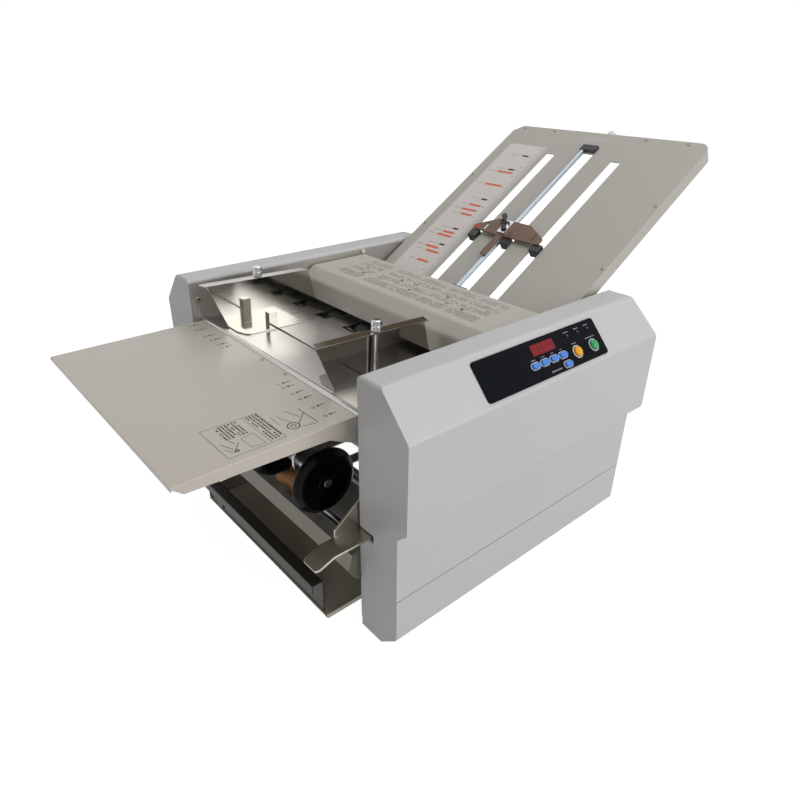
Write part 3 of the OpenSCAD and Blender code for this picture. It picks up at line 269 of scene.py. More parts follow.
@dataclass(frozen=True)
class Finish:
    """One finish of the machine, and the record's material slot that it stands for."""

    name: str
    slot: str
    shade: tuple[float, float, float]
    roughness: float = 0.5
    metallic: float = 0.0
    coat: float = 0.0
    gloss: float = 0.5
    grain: Grain = Grain.PLAIN
    grain_scale: float = 700.0
    grain_depth_mm: float = 0.02
    mottling: float = 0.05
    spread: float = 0.08
    glow: float = 0.0

    def material(self) -> bpy.types.Material:
        """Builds the finish's material at the first call.

        Returns:
            The material.
        """
        label = f"{self.name}_finish"
        if label in bpy.data.materials:
            return bpy.data.materials[label]
        material = bpy.data.materials.new(label)
        material.use_nodes = True
        tree = material.node_tree
        shader, shade = tree.nodes["Principled BSDF"], colour(*self.shade)
        feed(tree, shader, {"Base Color": shade, "Roughness": self.roughness, "Metallic": self.metallic,
                            "Coat Weight": self.coat, "Specular IOR Level": self.gloss})
        if self.glow:
            feed(tree, shader, {"Emission Color": shade, "Emission Strength": self.glow})
        if self.grain is Grain.PLAIN:
            return material
        values = {"Roughness": self.roughness, "Spread": self.spread, "Scale": self.grain_scale}
        if self.grain in STRETCH:
            effect = add_node(tree, "ShaderNodeGroup", {**values, "Stretch": STRETCH[self.grain]},
                              node_tree=Effects.brushed())
        else:
            effect = add_node(tree, "ShaderNodeGroup", {**values, "Color": shade, "Mottling": self.mottling},
                              node_tree=Effects.surface())
            feed(tree, shader, {"Base Color": effect.outputs["Color"]})
        bump = add_node(tree, "ShaderNodeBump", {"Distance": self.grain_depth_mm * MM,
                                                 "Height": effect.outputs["Height"]})
        feed(tree, shader, {"Roughness": effect.outputs["Roughness"], "Normal": bump.outputs["Normal"]})
        return material


COVER = Finish("cover_grey", "cover_plastic", (206, 206, 207), 0.42, grain=Grain.MOULDED, grain_scale=1400.0,
               grain_depth_mm=0.012, mottling=0.03)
STEEL_FRAME = Finish("frame_zinc", "frame_steel", (174, 170, 165), 0.36, 0.3, grain=Grain.PEEL, grain_scale=500.0)
TABLE = Finish("table_coat", "table_coat", (207, 199, 188), 0.34, grain=Grain.PEEL, grain_scale=520.0,
               grain_depth_mm=0.06, mottling=0.04, coat=0.15)
PLATE = Finish("plate_coat", "plate_coat", (192, 187, 179), 0.42, grain=Grain.PEEL, grain_scale=620.0,
               grain_depth_mm=0.02, mottling=0.04)
BRIDGE = Finish("bridge_coat", "table_coat", (197, 192, 183), 0.45, grain=Grain.PEEL, grain_scale=620.0,
                grain_depth_mm=0.02, mottling=0.04)
DECK = Finish("deck_steel", "polished_sheet", (188, 186, 183), 0.24, 1.0, grain=Grain.BRUSHED_Y, grain_scale=50.0,
              grain_depth_mm=0.0006, spread=0.1)
MIRROR = Finish("guide_mirror", "mirror_sheet", (178, 176, 170), 0.08, 1.0, grain=Grain.BRUSHED_X, grain_scale=40.0,
                grain_depth_mm=0.0003, spread=0.06)
CHROME = Finish("bright_chrome", "chrome_fitting", (214, 214, 216), 0.1, 1.0)
ROD = Finish("stop_rod_steel", "chrome_fitting", (158, 167, 174), 0.3, 0.6)
SHAFT = Finish("ground_shaft", "shaft_steel", (180, 180, 182), 0.28, 1.0)
SCREW = Finish("zinc_screw", "shaft_steel", (150, 146, 130), 0.35, 1.0)
DARK_SHEET = Finish("dark_sheet", "dark_steel", (48, 46, 41), 0.38, 0.3, gloss=0.25, grain=Grain.BRUSHED_Y,
                    grain_scale=40.0, grain_depth_mm=0.004, spread=0.2)
TRAY_SHEET = Finish("tray_sheet", "dark_steel", (196, 192, 174), 0.4, 0.2, grain=Grain.BRUSHED_X, grain_scale=30.0,
                    grain_depth_mm=0.0004, spread=0.08)
COMB = Finish("comb_sheet", "comb_steel", (132, 128, 117), 0.42, 0.25, grain=Grain.BRUSHED_Y, grain_scale=45.0,
              grain_depth_mm=0.002)
LEVER = Finish("lever_steel", "polished_sheet", (172, 168, 158), 0.3, 1.0, grain=Grain.BRUSHED_X, grain_scale=30.0,
               grain_depth_mm=0.0006, spread=0.06)
BRONZE = Finish("stop_bronze", "bronze_steel", (112, 88, 72), 0.38, 0.4, grain=Grain.PEEL, grain_scale=500.0)
BLACK = Finish("black_plastic", "black_plastic", (26, 26, 28), 0.42, grain=Grain.MOULDED, grain_scale=900.0,
               grain_depth_mm=0.01)
WHEEL = Finish("wheel_black", "black_rubber", (9, 10, 13), 0.28, gloss=0.1, grain=Grain.MOULDED, grain_scale=300.0,
               grain_depth_mm=0.006)
TYRE = Finish("black_rubber", "black_rubber", (24, 24, 25), 0.7, grain=Grain.MOULDED, grain_scale=900.0,
              grain_depth_mm=0.03)
GREEN_RUBBER = Finish("green_rubber", "green_rubber", (46, 110, 88), 0.5)
TAN_RUBBER = Finish("tan_rubber", "tan_rubber", (228, 164, 110), 0.6, grain=Grain.MOULDED, grain_scale=900.0)
PAD = Finish("friction_pad", "grey_pad", (84, 80, 74), 0.8)
CREAM = Finish("cream_boss", "cream_plastic", (222, 217, 202), 0.45)
WHITE = Finish("white_knob", "white_plastic", (232, 231, 226), 0.4)
RED_SWITCH = Finish("red_switch", "red_plastic", (176, 34, 30), 0.3, coat=0.3)
PANEL = Finish("panel_film", "panel_film", (15, 18, 23), 0.45, gloss=0.04, grain=Grain.MOULDED,
               grain_scale=1600.0, grain_depth_mm=0.004)
BOARD = Finish("circuit_board", "panel_film", (38, 74, 52), 0.5)
DISPLAY = Finish("display_red", "display_film", (132, 36, 44), 0.25, gloss=0.15)
DIGIT = Finish("digit_red", "display_film", (150, 50, 56), 0.3, gloss=0.15, glow=0.03)
KEY = Finish("key_blue", "key_blue", (84, 142, 230), 0.35, gloss=0.3)
KEY_RING = Finish("key_ring", "panel_film", (196, 204, 216), 0.4, gloss=0.3)
YELLOW = Finish("button_yellow", "button_yellow", (250, 176, 24), 0.3, gloss=0.35)
GREEN = Finish("button_green", "button_green", (40, 166, 88), 0.3, gloss=0.35)
LAMP = Finish("small_lamp", "panel_film", (84, 88, 98), 0.25, gloss=0.3)
INK = Finish("black_ink", "panel_film", (34, 34, 38), 0.55, gloss=0.2)
GREY_INK = Finish("grey_ink", "panel_film", (112, 107, 100), 0.6, gloss=0.2)
PRINT_INK = Finish("print_ink", "panel_film", (70, 66, 62), 0.6, gloss=0.2)
FAINT_INK = Finish("faint_ink", "panel_film", (158, 150, 146), 0.6, gloss=0.3)
BRIDGE_INK = Finish("bridge_ink", "panel_film", (98, 91, 83), 0.6, gloss=0.2)
WHITE_INK = Finish("white_ink", "white_plastic", (150, 154, 162), 0.5, gloss=0.2)
LABEL = Finish("scale_label", "white_plastic", (230, 222, 217), 0.35, coat=0.2)
PALE_LABEL = Finish("bridge_label", "white_plastic", (198, 195, 190), 0.4)
SCALE_RED = Finish("scale_red", "red_plastic", (230, 112, 84), 0.5)
POINTER_RED = Finish("pointer_red", "red_plastic", (200, 44, 30), 0.4)
Skin = tuple[str, Finish, float]


# ---------- Places and meshes ----------


def moved(at: Sequence[float], turn_deg: float = 0.0, axis: str = "Z") -> Matrix:
    """Returns the matrix that turns about an axis and then moves to a place."""
    return Matrix.Translation(at) @ Matrix.Rotation(math.radians(turn_deg), 4, axis)


class Datum:
    """The machine's own millimetres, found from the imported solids."""

    def __init__(self) -> None:
        """Reads where the covers' left end and the plinths' lower edge lie."""
        self.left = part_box("near_cover")[0].x
        self.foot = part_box("plinths")[0].z

    def machine(self) -> Matrix:
        """Returns the matrix from machine millimetres to the shared frame."""
        return Matrix.Translation((self.left, 0.0, self.foot)) @ Matrix.Scale(MM, 4)

    def level(self, height: float) -> Matrix:
        """Returns the matrix of a level plane at a height."""
        return self.tilted((0.0, 0.0, height), 0.0)

    def tilted(self, origin: Sequence[float], slope_deg: float) -> Matrix:
        """Returns the matrix of a plane that rises along X by slope_deg from origin."""
        return self.machine() @ Matrix.Translation(origin) @ Matrix.Rotation(math.radians(-slope_deg), 4, "Y")

    def panel(self, origin: Sequence[float], angle_deg: float) -> Matrix:
        """Returns the matrix of a plane that is turned about X by angle_deg at origin."""
        return self.machine() @ Matrix.Translation(origin) @ Matrix.Rotation(math.radians(angle_deg), 4, "X")

    def seen_from(self, plane: Matrix) -> Matrix:
        """Returns the matrix from machine millimetres to a plane's own."""
        return plane.inverted() @ self.machine()


def rounded(points: Sequence[Point], radius: float, steps: int = 5) -> list[Point]:
    """Rounds each corner of an outline.

    Args:
        points: the outline's corners.
        radius: the corner radius.
        steps: how many pieces make each rounded corner.

    Returns:
        The corners of the rounded outline.
    """
    result: list[Point] = []
    for index, corner in enumerate(points):
        here = Vector(corner)
        back = (Vector(points[index - 1]) - here).normalized()
        ahead = (Vector(points[(index + 1) % len(points)]) - here).normalized()
        half = back.angle(ahead) / 2
        reach = radius / math.tan(half)
        centre = here + (back + ahead).normalized() * radius / math.sin(half)
        start, end = here + back * reach - centre, here + ahead * reach - centre
        first = math.atan2(start.y, start.x)
        sweep = (math.atan2(end.y, end.x) - first + math.pi) % (2 * math.pi) - math.pi
        for step in range(steps + 1):
            angle = first + sweep * step / steps
            result.append((centre.x + radius * math.cos(angle), centre.y + radius * math.sin(angle)))
    return result


def rectangle(low: Point, high: Point, radius: float = 0.0) -> list[Point]:
    """Returns a rectangle's outline between two corners, rounded where radius is given."""
    corners = [(low[0], low[1]), (high[0], low[1]), (high[0], high[1]), (low[0], high[1])]
    return rounded(corners, radius) if radius else corners


def circle(centre: Sequence[float], radius: float, steps: int) -> list[Point]:
    """Returns a circle's outline with that many corners."""
    return [(centre[0] + radius * math.cos(2 * math.pi * k / steps),
             centre[1] + radius * math.sin(2 * math.pi * k / steps)) for k in range(steps)]


class Sketch:
    """A mesh drawn in a local frame in millimetres, and placed in the shared frame."""

    def __init__(self, name: str, place: Matrix) -> None:
        """Starts an empty mesh.

        Args:
            name: the name of the mesh and its object.
            place: the matrix from the sketch's millimetres to the shared frame.
        """
        self.name = name
        self.place = place
        self.mesh = bmesh.new()

    def sheet(self, outline: Sequence[Point], height: float) -> "Sketch":
        """Adds a flat face that looks up.

        Args:
            outline: the face's corners.
            height: where it lies.

        Returns:
            The sketch.
        """
        face = self.mesh.faces.new([self.mesh.verts.new((x, y, height)) for x, y in outline])
        face.normal_update()
        if face.normal.z < 0:
            face.normal_flip()
        return self

    def prism(self, outline: Sequence[Point], low: float, high: float) -> "Sketch":
        """Adds a closed block.

        Args:
            outline: the block's corners.
            low: height of its lower face.
            high: height of its upper face.

        Returns:
            The sketch.
        """
        bottom, top = ([self.mesh.verts.new((x, y, level)) for x, y in outline] for level in (low, high))
        count = len(outline)
        made = [self.mesh.faces.new(bottom), self.mesh.faces.new(top)]
        made += [self.mesh.faces.new((bottom[i], bottom[(i + 1) % count], top[(i + 1) % count], top[i]))
                 for i in range(count)]
        bmesh.ops.recalc_face_normals(self.mesh, faces=made)
        return self

    def frame(self, low: Point, high: Point, width: float, height: float) -> "Sketch":
        """Adds a thin printed rectangle.

        Args:
            low: its lower left corner.
            high: its upper right corner.
            width: how wide its four lines are.
            height: where it lies.

        Returns:
            The sketch.
        """
        for start, end in ((low, (high[0], low[1] + width)), ((low[0], high[1] - width), high),
                           ((low[0], low[1] + width), (low[0] + width, high[1] - width)),
                           ((high[0] - width, low[1] + width), (high[0], high[1] - width))):
            self.sheet(rectangle(start, end), height)
        return self

    def line(self, start: Point, end: Point, width: float, height: float) -> "Sketch":
        """Adds a printed stroke.

        Args:
            start: where it starts.
            end: where it ends.
            width: how wide it is.
            height: where it lies.

        Returns:
            The sketch.
        """
        along = Vector(end) - Vector(start)
        side = Vector((-along.y, along.x)).normalized() * width / 2
        corners = [Vector(start) + side, Vector(start) - side, Vector(end) - side, Vector(end) + side]
        return self.sheet([(corner.x, corner.y) for corner in corners], height)

    def band(self, outer: Sequence[Point], inner: Sequence[Point], height: float) -> "Sketch":
        """Adds the flat strip between two closed outlines.

        Args:
            outer: corners of the outer outline.
            inner: as many corners of the inner outline.
            height: where it lies.

        Returns:
            The sketch.
        """
        for index in range(len(outer)):
            ahead = (index + 1) % len(outer)
            self.sheet([outer[index], outer[ahead], inner[ahead], inner[index]], height)
        return self

    def ring(self, centre: Point, inner: float, outer: float, height: float, steps: int = 32) -> "Sketch":
        """Adds a flat ring between two radii at a height. Returns the sketch."""
        return self.band(circle(centre, outer, steps), circle(centre, inner, steps), height)

    def lathe(self, profile: Sequence[Point], centre: Sequence[float], steps: int = 40) -> "Sketch":
        """Adds a body turned about the local Z axis.

        Args:
            profile: radius and height of each point, from one end on the axis to the other.
            centre: where the axis stands.
            steps: how many sides the body has.

        Returns:
            The sketch.
        """
        rings = [[self.mesh.verts.new((x, y, centre[2] + height)) for x, y in circle(centre, radius, steps)]
                 if radius else [self.mesh.verts.new((centre[0], centre[1], centre[2] + height))]
                 for radius, height in profile]
        made = []
        for lower, upper in zip(rings, rings[1:]):
            for k in range(steps):
                corners = [lower[k % len(lower)], lower[(k + 1) % len(lower)],
                           upper[(k + 1) % len(upper)], upper[k % len(upper)]]
                unique = list(dict.fromkeys(corners))
                if len(unique) > 2:
                    made.append(self.mesh.faces.new(unique))
        bmesh.ops.recalc_face_normals(self.mesh, faces=made)
        return self

    def add(self, mesh: bpy.types.Mesh, move: Matrix | None = None) -> "Sketch":
        """Adds a ready mesh and discards it.

        Args:
            mesh: the mesh, in the sketch's millimetres.
            move: what it is turned and moved by first.

        Returns:
            The sketch.
        """
        if move is not None:
            mesh.transform(move)
        self.mesh.from_mesh(mesh)
        bpy.data.meshes.remove(mesh)
        return self

    def words(self, text: str, at: Sequence[float], size: float, turn_deg: float = 0.0) -> "Sketch":
        """Adds flat characters.

        Args:
            text: the characters.
            at: their middle.
            size: their height.
            turn_deg: how far they are turned in their plane.

        Returns:
            The sketch.
        """
        curve = bpy.data.curves.new(self.name + "_text", "FONT")
        curve.body = text
        curve.size = size
        curve.align_x = curve.align_y = "CENTER"
        holder = bpy.data.objects.new(self.name + "_text", curve)
        bpy.context.scene.collection.objects.link(holder)
        flat = bpy.data.meshes.new_from_object(holder.evaluated_get(bpy.context.evaluated_depsgraph_get()))
        bpy.data.objects.remove(holder)
        bpy.data.curves.remove(curve)
        return self.add(flat, moved(at, turn_deg))

    def placed(self) -> bpy.types.Mesh:
        """Carries the sketch into the shared frame, and frees what it was drawn in.

        Returns:
            The placed mesh.
        """
        mesh = bpy.data.meshes.new(self.name)
        self.mesh.to_mesh(mesh)
        self.mesh.free()
        mesh.transform(self.place)
        return mesh

    def build(self, finish: Finish, body: str = "frame") -> bpy.types.Object:
        """Turns the sketch into an object with a finish that rides on a body, and returns it."""
        return settle(self.name, self.placed(), finish, body, 0.0, SKETCH_CREASE_DEG)


def settle(name: str, mesh: bpy.types.Mesh, finish: Finish, body: str, bevel_mm: float,
           smooth_deg: float) -> bpy.types.Object:
    """Makes an object from a placed mesh and finishes it.

    Args:
        name: the object's name.
        mesh: its mesh, in the shared frame.
        finish: what it is covered with.
        body: the body that it moves with.
        bevel_mm: width of the rounded edges, or 0 for none.
        smooth_deg: edges sharper than this stay hard, or get the bevel.

    Returns:
        The new object, riding on its body.
    """
    mesh.materials.clear()
    mesh.materials.append(finish.material())
    mesh.polygons.foreach_set("use_smooth", [True] * len(mesh.polygons))
    mesh.polygons.foreach_set("material_index", [0] * len(mesh.polygons))
    mesh.set_sharp_from_angle(angle=math.radians(smooth_deg))
    piece = bpy.data.objects.new(name, mesh)
    bpy.context.scene.collection.objects.link(piece)
    if bevel_mm:
        bevel = piece.modifiers.new("soft_edges", "BEVEL")
        bevel.width = bevel_mm * MM
        bevel.segments = BEVEL_STEPS
        bevel.limit_method = "ANGLE"
        bevel.angle_limit = math.radians(smooth_deg)
        bevel.use_clamp_overlap = True
        bevel.miter_outer = "MITER_ARC"
    level = piece.modifiers.new("level_faces", "WEIGHTED_NORMAL")
    level.keep_sharp = True
    level.weight = LEVEL_WEIGHT
    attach(piece, body)
    return piece


class Workshop:
    """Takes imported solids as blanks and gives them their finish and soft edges."""

    def __init__(self, frame: dict) -> None:
        """Works out which body each node belongs to.
        """
        self.nodes = frame["nodes"]
        self.bodies = {node: body for body, nodes in frame["record"]["behaviour"]["bodies"].items()
                       for node in nodes}
        self.datum = Datum()

    def dress(self, node: str, finish: Finish, bevel_mm: float, smooth_deg: float = CREASE_DEG,
              paint: Sequence[tuple[Finish, Callable[[Vector], bool]]] = ()) -> None:
        """Replaces a node with a copy that has soft edges and its finish.

        A bevel on a large flat face with holes in it tears the face, so such sheets have none.

        Args:
            node: the node's name.
            finish: the finish of the whole piece.
            bevel_mm: width of the rounded edges, or 0 for none.
            smooth_deg: edges sharper than this get a bevel.
            paint: further finishes, each with a test of a face's centre in machine millimetres.
        """
        blank = bmesh.new()
        blank.from_mesh(self.nodes[node].data)
        bmesh.ops.remove_doubles(blank, verts=blank.verts, dist=MERGE_M)
        if bevel_mm:
            bmesh.ops.dissolve_limit(blank, angle_limit=math.radians(FLAT_DEG), verts=blank.verts,
                                     edges=blank.edges)
        mesh = bpy.data.meshes.new(node + "_skin")
        blank.to_mesh(mesh)
        blank.free()
        piece = settle(node + "_skin", mesh, finish, self.bodies[node], bevel_mm, smooth_deg)
        back = self.datum.machine().inverted()
        for index, (other, test) in enumerate(paint, start=1):
            mesh.materials.append(other.material())
            for face in mesh.polygons:
                if test(back @ face.center):
                    face.material_index = index
        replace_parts(piece, node)

    def dress_all(self, skins: Sequence[Skin], smooth_deg: float = CREASE_DEG) -> None:
        """Dresses several nodes, each given by its name, its finish and its bevel in millimetres."""
        for node, finish, bevel_mm in skins:
            self.dress(node, finish, bevel_mm, smooth_deg)


def is_gear(point: Vector) -> bool:
    """Says whether a point of a shaft lies on the gears or pulleys beyond the far frame."""
    return point.y > GEARS_FROM_Y


# ---------- Repeats made with Geometry Nodes ----------


class Repeat:
    """Geometry Nodes trees for what repeats, each turned into a plain mesh in millimetres."""

    _trees: dict[str, bpy.types.GeometryNodeTree] = {}
    _kinds = {float: "NodeSocketFloat", int: "NodeSocketInt", bpy.types.Object: "NodeSocketObject",
              bpy.types.Material: "NodeSocketMaterial"}

    @classmethod
    def _run(cls, name: str, values: dict[str, object], finish: Finish,
             fill: Callable[[bpy.types.GeometryNodeTree, Sockets], bpy.types.NodeSocket]) -> bpy.types.Mesh:
        """Makes a tree once, which ends in Realize Instances and Set Material, and runs it.

        Args:
            name: the tree's name.
            values: the value of each named input.
            finish: the result's finish.
            fill: adds the nodes and returns the instances' socket.

        Returns:
            The plain mesh.
        """
        values = {**values, "Material": finish.material()}
        if name not in cls._trees:
            tree = bpy.data.node_groups.new(name, "GeometryNodeTree")
            tree.interface.new_socket(name="Geometry", in_out="OUTPUT", socket_type="NodeSocketGeometry")
            for label, value in values.items():
                tree.interface.new_socket(name=label, in_out="INPUT", socket_type=cls._kinds[type(value)])
            given, out = tree.nodes.new("NodeGroupInput"), tree.nodes.new("NodeGroupOutput")
            real = add_node(tree, "GeometryNodeRealizeInstances", {0: fill(tree, given.outputs)})
            cover = add_node(tree, "GeometryNodeSetMaterial", {"Geometry": real.outputs[0],
                                                               "Material": given.outputs["Material"]})
            feed(tree, out, {"Geometry": cover.outputs["Geometry"]})
            cls._trees[name] = tree
        tree = cls._trees[name]
        holder = bpy.data.objects.new("repeat_holder", bpy.data.meshes.new("repeat_holder"))
        bpy.context.scene.collection.objects.link(holder)
        modifier = holder.modifiers.new("repeat", "NODES")
        modifier.node_group = tree
        for item in tree.interface.items_tree:
            if item.in_out == "INPUT" and item.name in values:
                modifier[item.identifier] = values[item.name]
        holder.update_tag()
        evaluated = holder.evaluated_get(bpy.context.evaluated_depsgraph_get())
        mesh = bpy.data.meshes.new_from_object(evaluated)
        holder.modifiers.remove(modifier)
        bpy.data.objects.remove(holder)
        return mesh

    @staticmethod
    def _scatter(tree: bpy.types.GeometryNodeTree, points: bpy.types.NodeSocket, instance: bpy.types.NodeSocket,
                 **inputs: bpy.types.NodeSocket) -> bpy.types.NodeSocket:
        """Puts an instance at each point, with sockets for its other inputs. Returns the instances' socket."""
        return add_node(tree, "GeometryNodeInstanceOnPoints",
                        {"Points": points, "Instance": instance, **inputs}).outputs["Instances"]

    @staticmethod
    def _patch(tree: bpy.types.GeometryNodeTree, width: object, length: object) -> bpy.types.NodeSocket:
        """Adds one printed rectangle along X and Y, and returns its mesh's socket."""
        return add_node(tree, "GeometryNodeMeshGrid", {"Size X": width, "Size Y": length, "Vertices X": 2,
                                                       "Vertices Y": 2}).outputs["Mesh"]

    @classmethod
    def strokes(cls, rows: int, row_pitch: float, length: float, words: int, height: float, seed: int,
                finish: Finish, share: float = 0.9) -> bpy.types.Mesh:
        """Prints rows of short strokes of varying length, centred on the origin.

        Args:
            rows: how many rows there are.
            row_pitch: distance from row to row.
            length: how long a row is.
            words: how many strokes a full row has.
            height: height of a stroke.
            seed: which of the chance patterns is taken.
            finish: the print's finish.
            share: part of the strokes that is drawn.

        Returns:
            The strokes' mesh in millimetres.
        """

        def fill(tree: bpy.types.GeometryNodeTree, given: Sockets) -> bpy.types.NodeSocket:
            """Adds the tree's nodes.

            Args:
                tree: the tree.
                given: its inputs' sockets.

            Returns:
                The instances' socket.
            """
            grid = add_node(tree, "GeometryNodeMeshGrid", {
                "Size X": given["Length"], "Size Y": given["Depth"], "Vertices X": given["Words"],
                "Vertices Y": given["Rows"]})
            kept = add_node(tree, "FunctionNodeRandomValue", {"Probability": given["Share"], "Seed": given["Seed"]},
                            data_type="BOOLEAN")
            spread = add_node(tree, "FunctionNodeRandomValue", {2: STROKE_RANGE[0], 3: STROKE_RANGE[1],
                                                              "Seed": given["Seed"]}, data_type="FLOAT")
            wide = add_math(tree, "MULTIPLY", spread.outputs[1], given["Word Pitch"])
            scale = add_node(tree, "ShaderNodeCombineXYZ", {"X": wide, "Y": given["Height"], "Z": 1.0})
            return cls._scatter(tree, grid.outputs["Mesh"], cls._patch(tree, 1.0, 1.0), Selection=kept.outputs[3],
                                Scale=scale.outputs[0])

        return cls._run("printed_strokes", {
            "Length": length, "Depth": (rows - 1) * row_pitch, "Words": words, "Rows": rows,
            "Word Pitch": length / (words - 1), "Height": height, "Seed": seed, "Share": share}, finish, fill)

    @classmethod
    def ticks(cls, count: int, pitch: float, width: float, length: float, finish: Finish) -> bpy.types.Mesh:
        """Prints a row of ticks along X from the origin, each drawn along Y.

        Args:
            count: how many there are.
            pitch: distance from tick to tick.
            width: how wide a tick is.
            length: how long it is.
            finish: the print's finish.

        Returns:
            The ticks' mesh in millimetres.
        """

        def fill(tree: bpy.types.GeometryNodeTree, given: Sockets) -> bpy.types.NodeSocket:
            """Adds the tree's nodes.

            Args:
                tree: the tree.
                given: its inputs' sockets.

            Returns:
                The instances' socket.
            """
            step = add_node(tree, "ShaderNodeCombineXYZ", {"X": given["Pitch"]})
            row = add_node(tree, "GeometryNodeMeshLine", {"Count": given["Count"], "Offset": step.outputs[0]})
            return cls._scatter(tree, row.outputs["Mesh"], cls._patch(tree, given["Width"], given["Length"]))

        return cls._run("printed_ticks", {"Count": count, "Pitch": pitch, "Width": width, "Length": length},
                        finish, fill)

    @classmethod
    def ridges(cls, count: int, radius: float, width: float, height: float, finish: Finish) -> bpy.types.Mesh:
        """Cuts upright ridges round the Z axis, centred on the origin, as on a knurled rim.

        Args:
            count: how many there are.
            radius: how far from the axis they stand.
            width: how wide a ridge is.
            height: how high it is.
            finish: the rim's finish.

        Returns:
            The ridges' mesh in millimetres.
        """

        def fill(tree: bpy.types.GeometryNodeTree, given: Sockets) -> bpy.types.NodeSocket:
            """Adds the tree's nodes.

            Args:
                tree: the tree.
                given: its inputs' sockets.

            Returns:
                The instances' socket.
            """
            around = add_node(tree, "GeometryNodeMeshCircle", {"Vertices": given["Count"], "Radius": given["Radius"]})
            size = add_node(tree, "ShaderNodeCombineXYZ", {"X": given["Width"], "Y": given["Width"],
                                                           "Z": given["Height"]})
            ridge = add_node(tree, "GeometryNodeMeshCube", {"Size": size.outputs[0]})
            index = add_node(tree, "GeometryNodeInputIndex")
            part = add_math(tree, "DIVIDE", index.outputs[0], given["Count"])
            turn = add_node(tree, "ShaderNodeCombineXYZ", {
                "Z": add_math(tree, "MULTIPLY_ADD", part, 2 * math.pi, math.pi / 4)})
            return cls._scatter(tree, around.outputs["Mesh"], ridge.outputs["Mesh"], Rotation=turn.outputs[0])

        return cls._run("rim_ridges", {"Count": count, "Radius": radius, "Width": width, "Height": height},
                        finish, fill)

    @classmethod
    def heads(cls, head: bpy.types.Mesh, places: Sequence[Matrix], finish: Finish) -> bpy.types.Mesh:
        """Sets a copy of a head mesh at each place.

        Args:
            head: the head, which is discarded.
            places: what each copy is turned and moved by, unscaled.
            finish: the heads' finish.

        Returns:
            The heads' mesh in millimetres.
        """

        def fill(tree: bpy.types.GeometryNodeTree, given: Sockets) -> bpy.types.NodeSocket:
            """Adds the tree's nodes.

            Args:
                tree: the tree.
                given: its inputs' sockets.

            Returns:
                The instances' socket.
            """
            spots, shape = (add_node(tree, "GeometryNodeObjectInfo", {"Object": given[label]}).outputs["Geometry"]
                            for label in ("Places", "Head"))
            turn = add_node(tree, "GeometryNodeInputNamedAttribute", {"Name": "turn"}, data_type="FLOAT_VECTOR")
            return cls._scatter(tree, spots, shape, Rotation=turn.outputs["Attribute"])

        cloud = bpy.data.meshes.new("head_places")
        cloud.from_pydata([tuple(place.translation) for place in places], [], [])
        turns = cloud.attributes.new("turn", "FLOAT_VECTOR", "POINT")
        for item, place in zip(turns.data, places):
            item.vector = place.to_euler()
        holders = []
        for name, mesh in (("head_places", cloud), ("head_shape", head)):
            holder = bpy.data.objects.new(name, mesh)
            bpy.context.scene.collection.objects.link(holder)
            holders.append(holder)
        mesh = cls._run("screw_heads", {"Places": holders[0], "Head": holders[1]}, finish, fill)
        for holder in holders:
            bpy.data.meshes.remove(holder.data)
        return mesh


# ---------- Sub-assemblies ----------


@dataclass
class Housing:
    """Side covers, plinths, frame plates and the feet."""

    shop: Workshop
    mouldings: tuple[Skin, ...] = (("near_cover", COVER, 1.1), ("far_cover", COVER, 0.0), ("plinths", COVER, 0.8))
    skins: tuple[Skin, ...] = (
        ("near_frame", STEEL_FRAME, 0.3), ("far_frame", STEEL_FRAME, 0.3), ("base_pan", STEEL_FRAME, 0.0),
        ("rubber_feet", TYRE, 0.8), ("tie_rods", SHAFT, 0.3), ("shaft_bearings", SHAFT, 0.0),
        ("locating_pins", CREAM, 0.5))

    def build(self) -> None:
        """Dresses the housing."""
        self.shop.dress_all(self.mouldings, MOULDED_CREASE_DEG)
        self.shop.dress_all(self.skins)


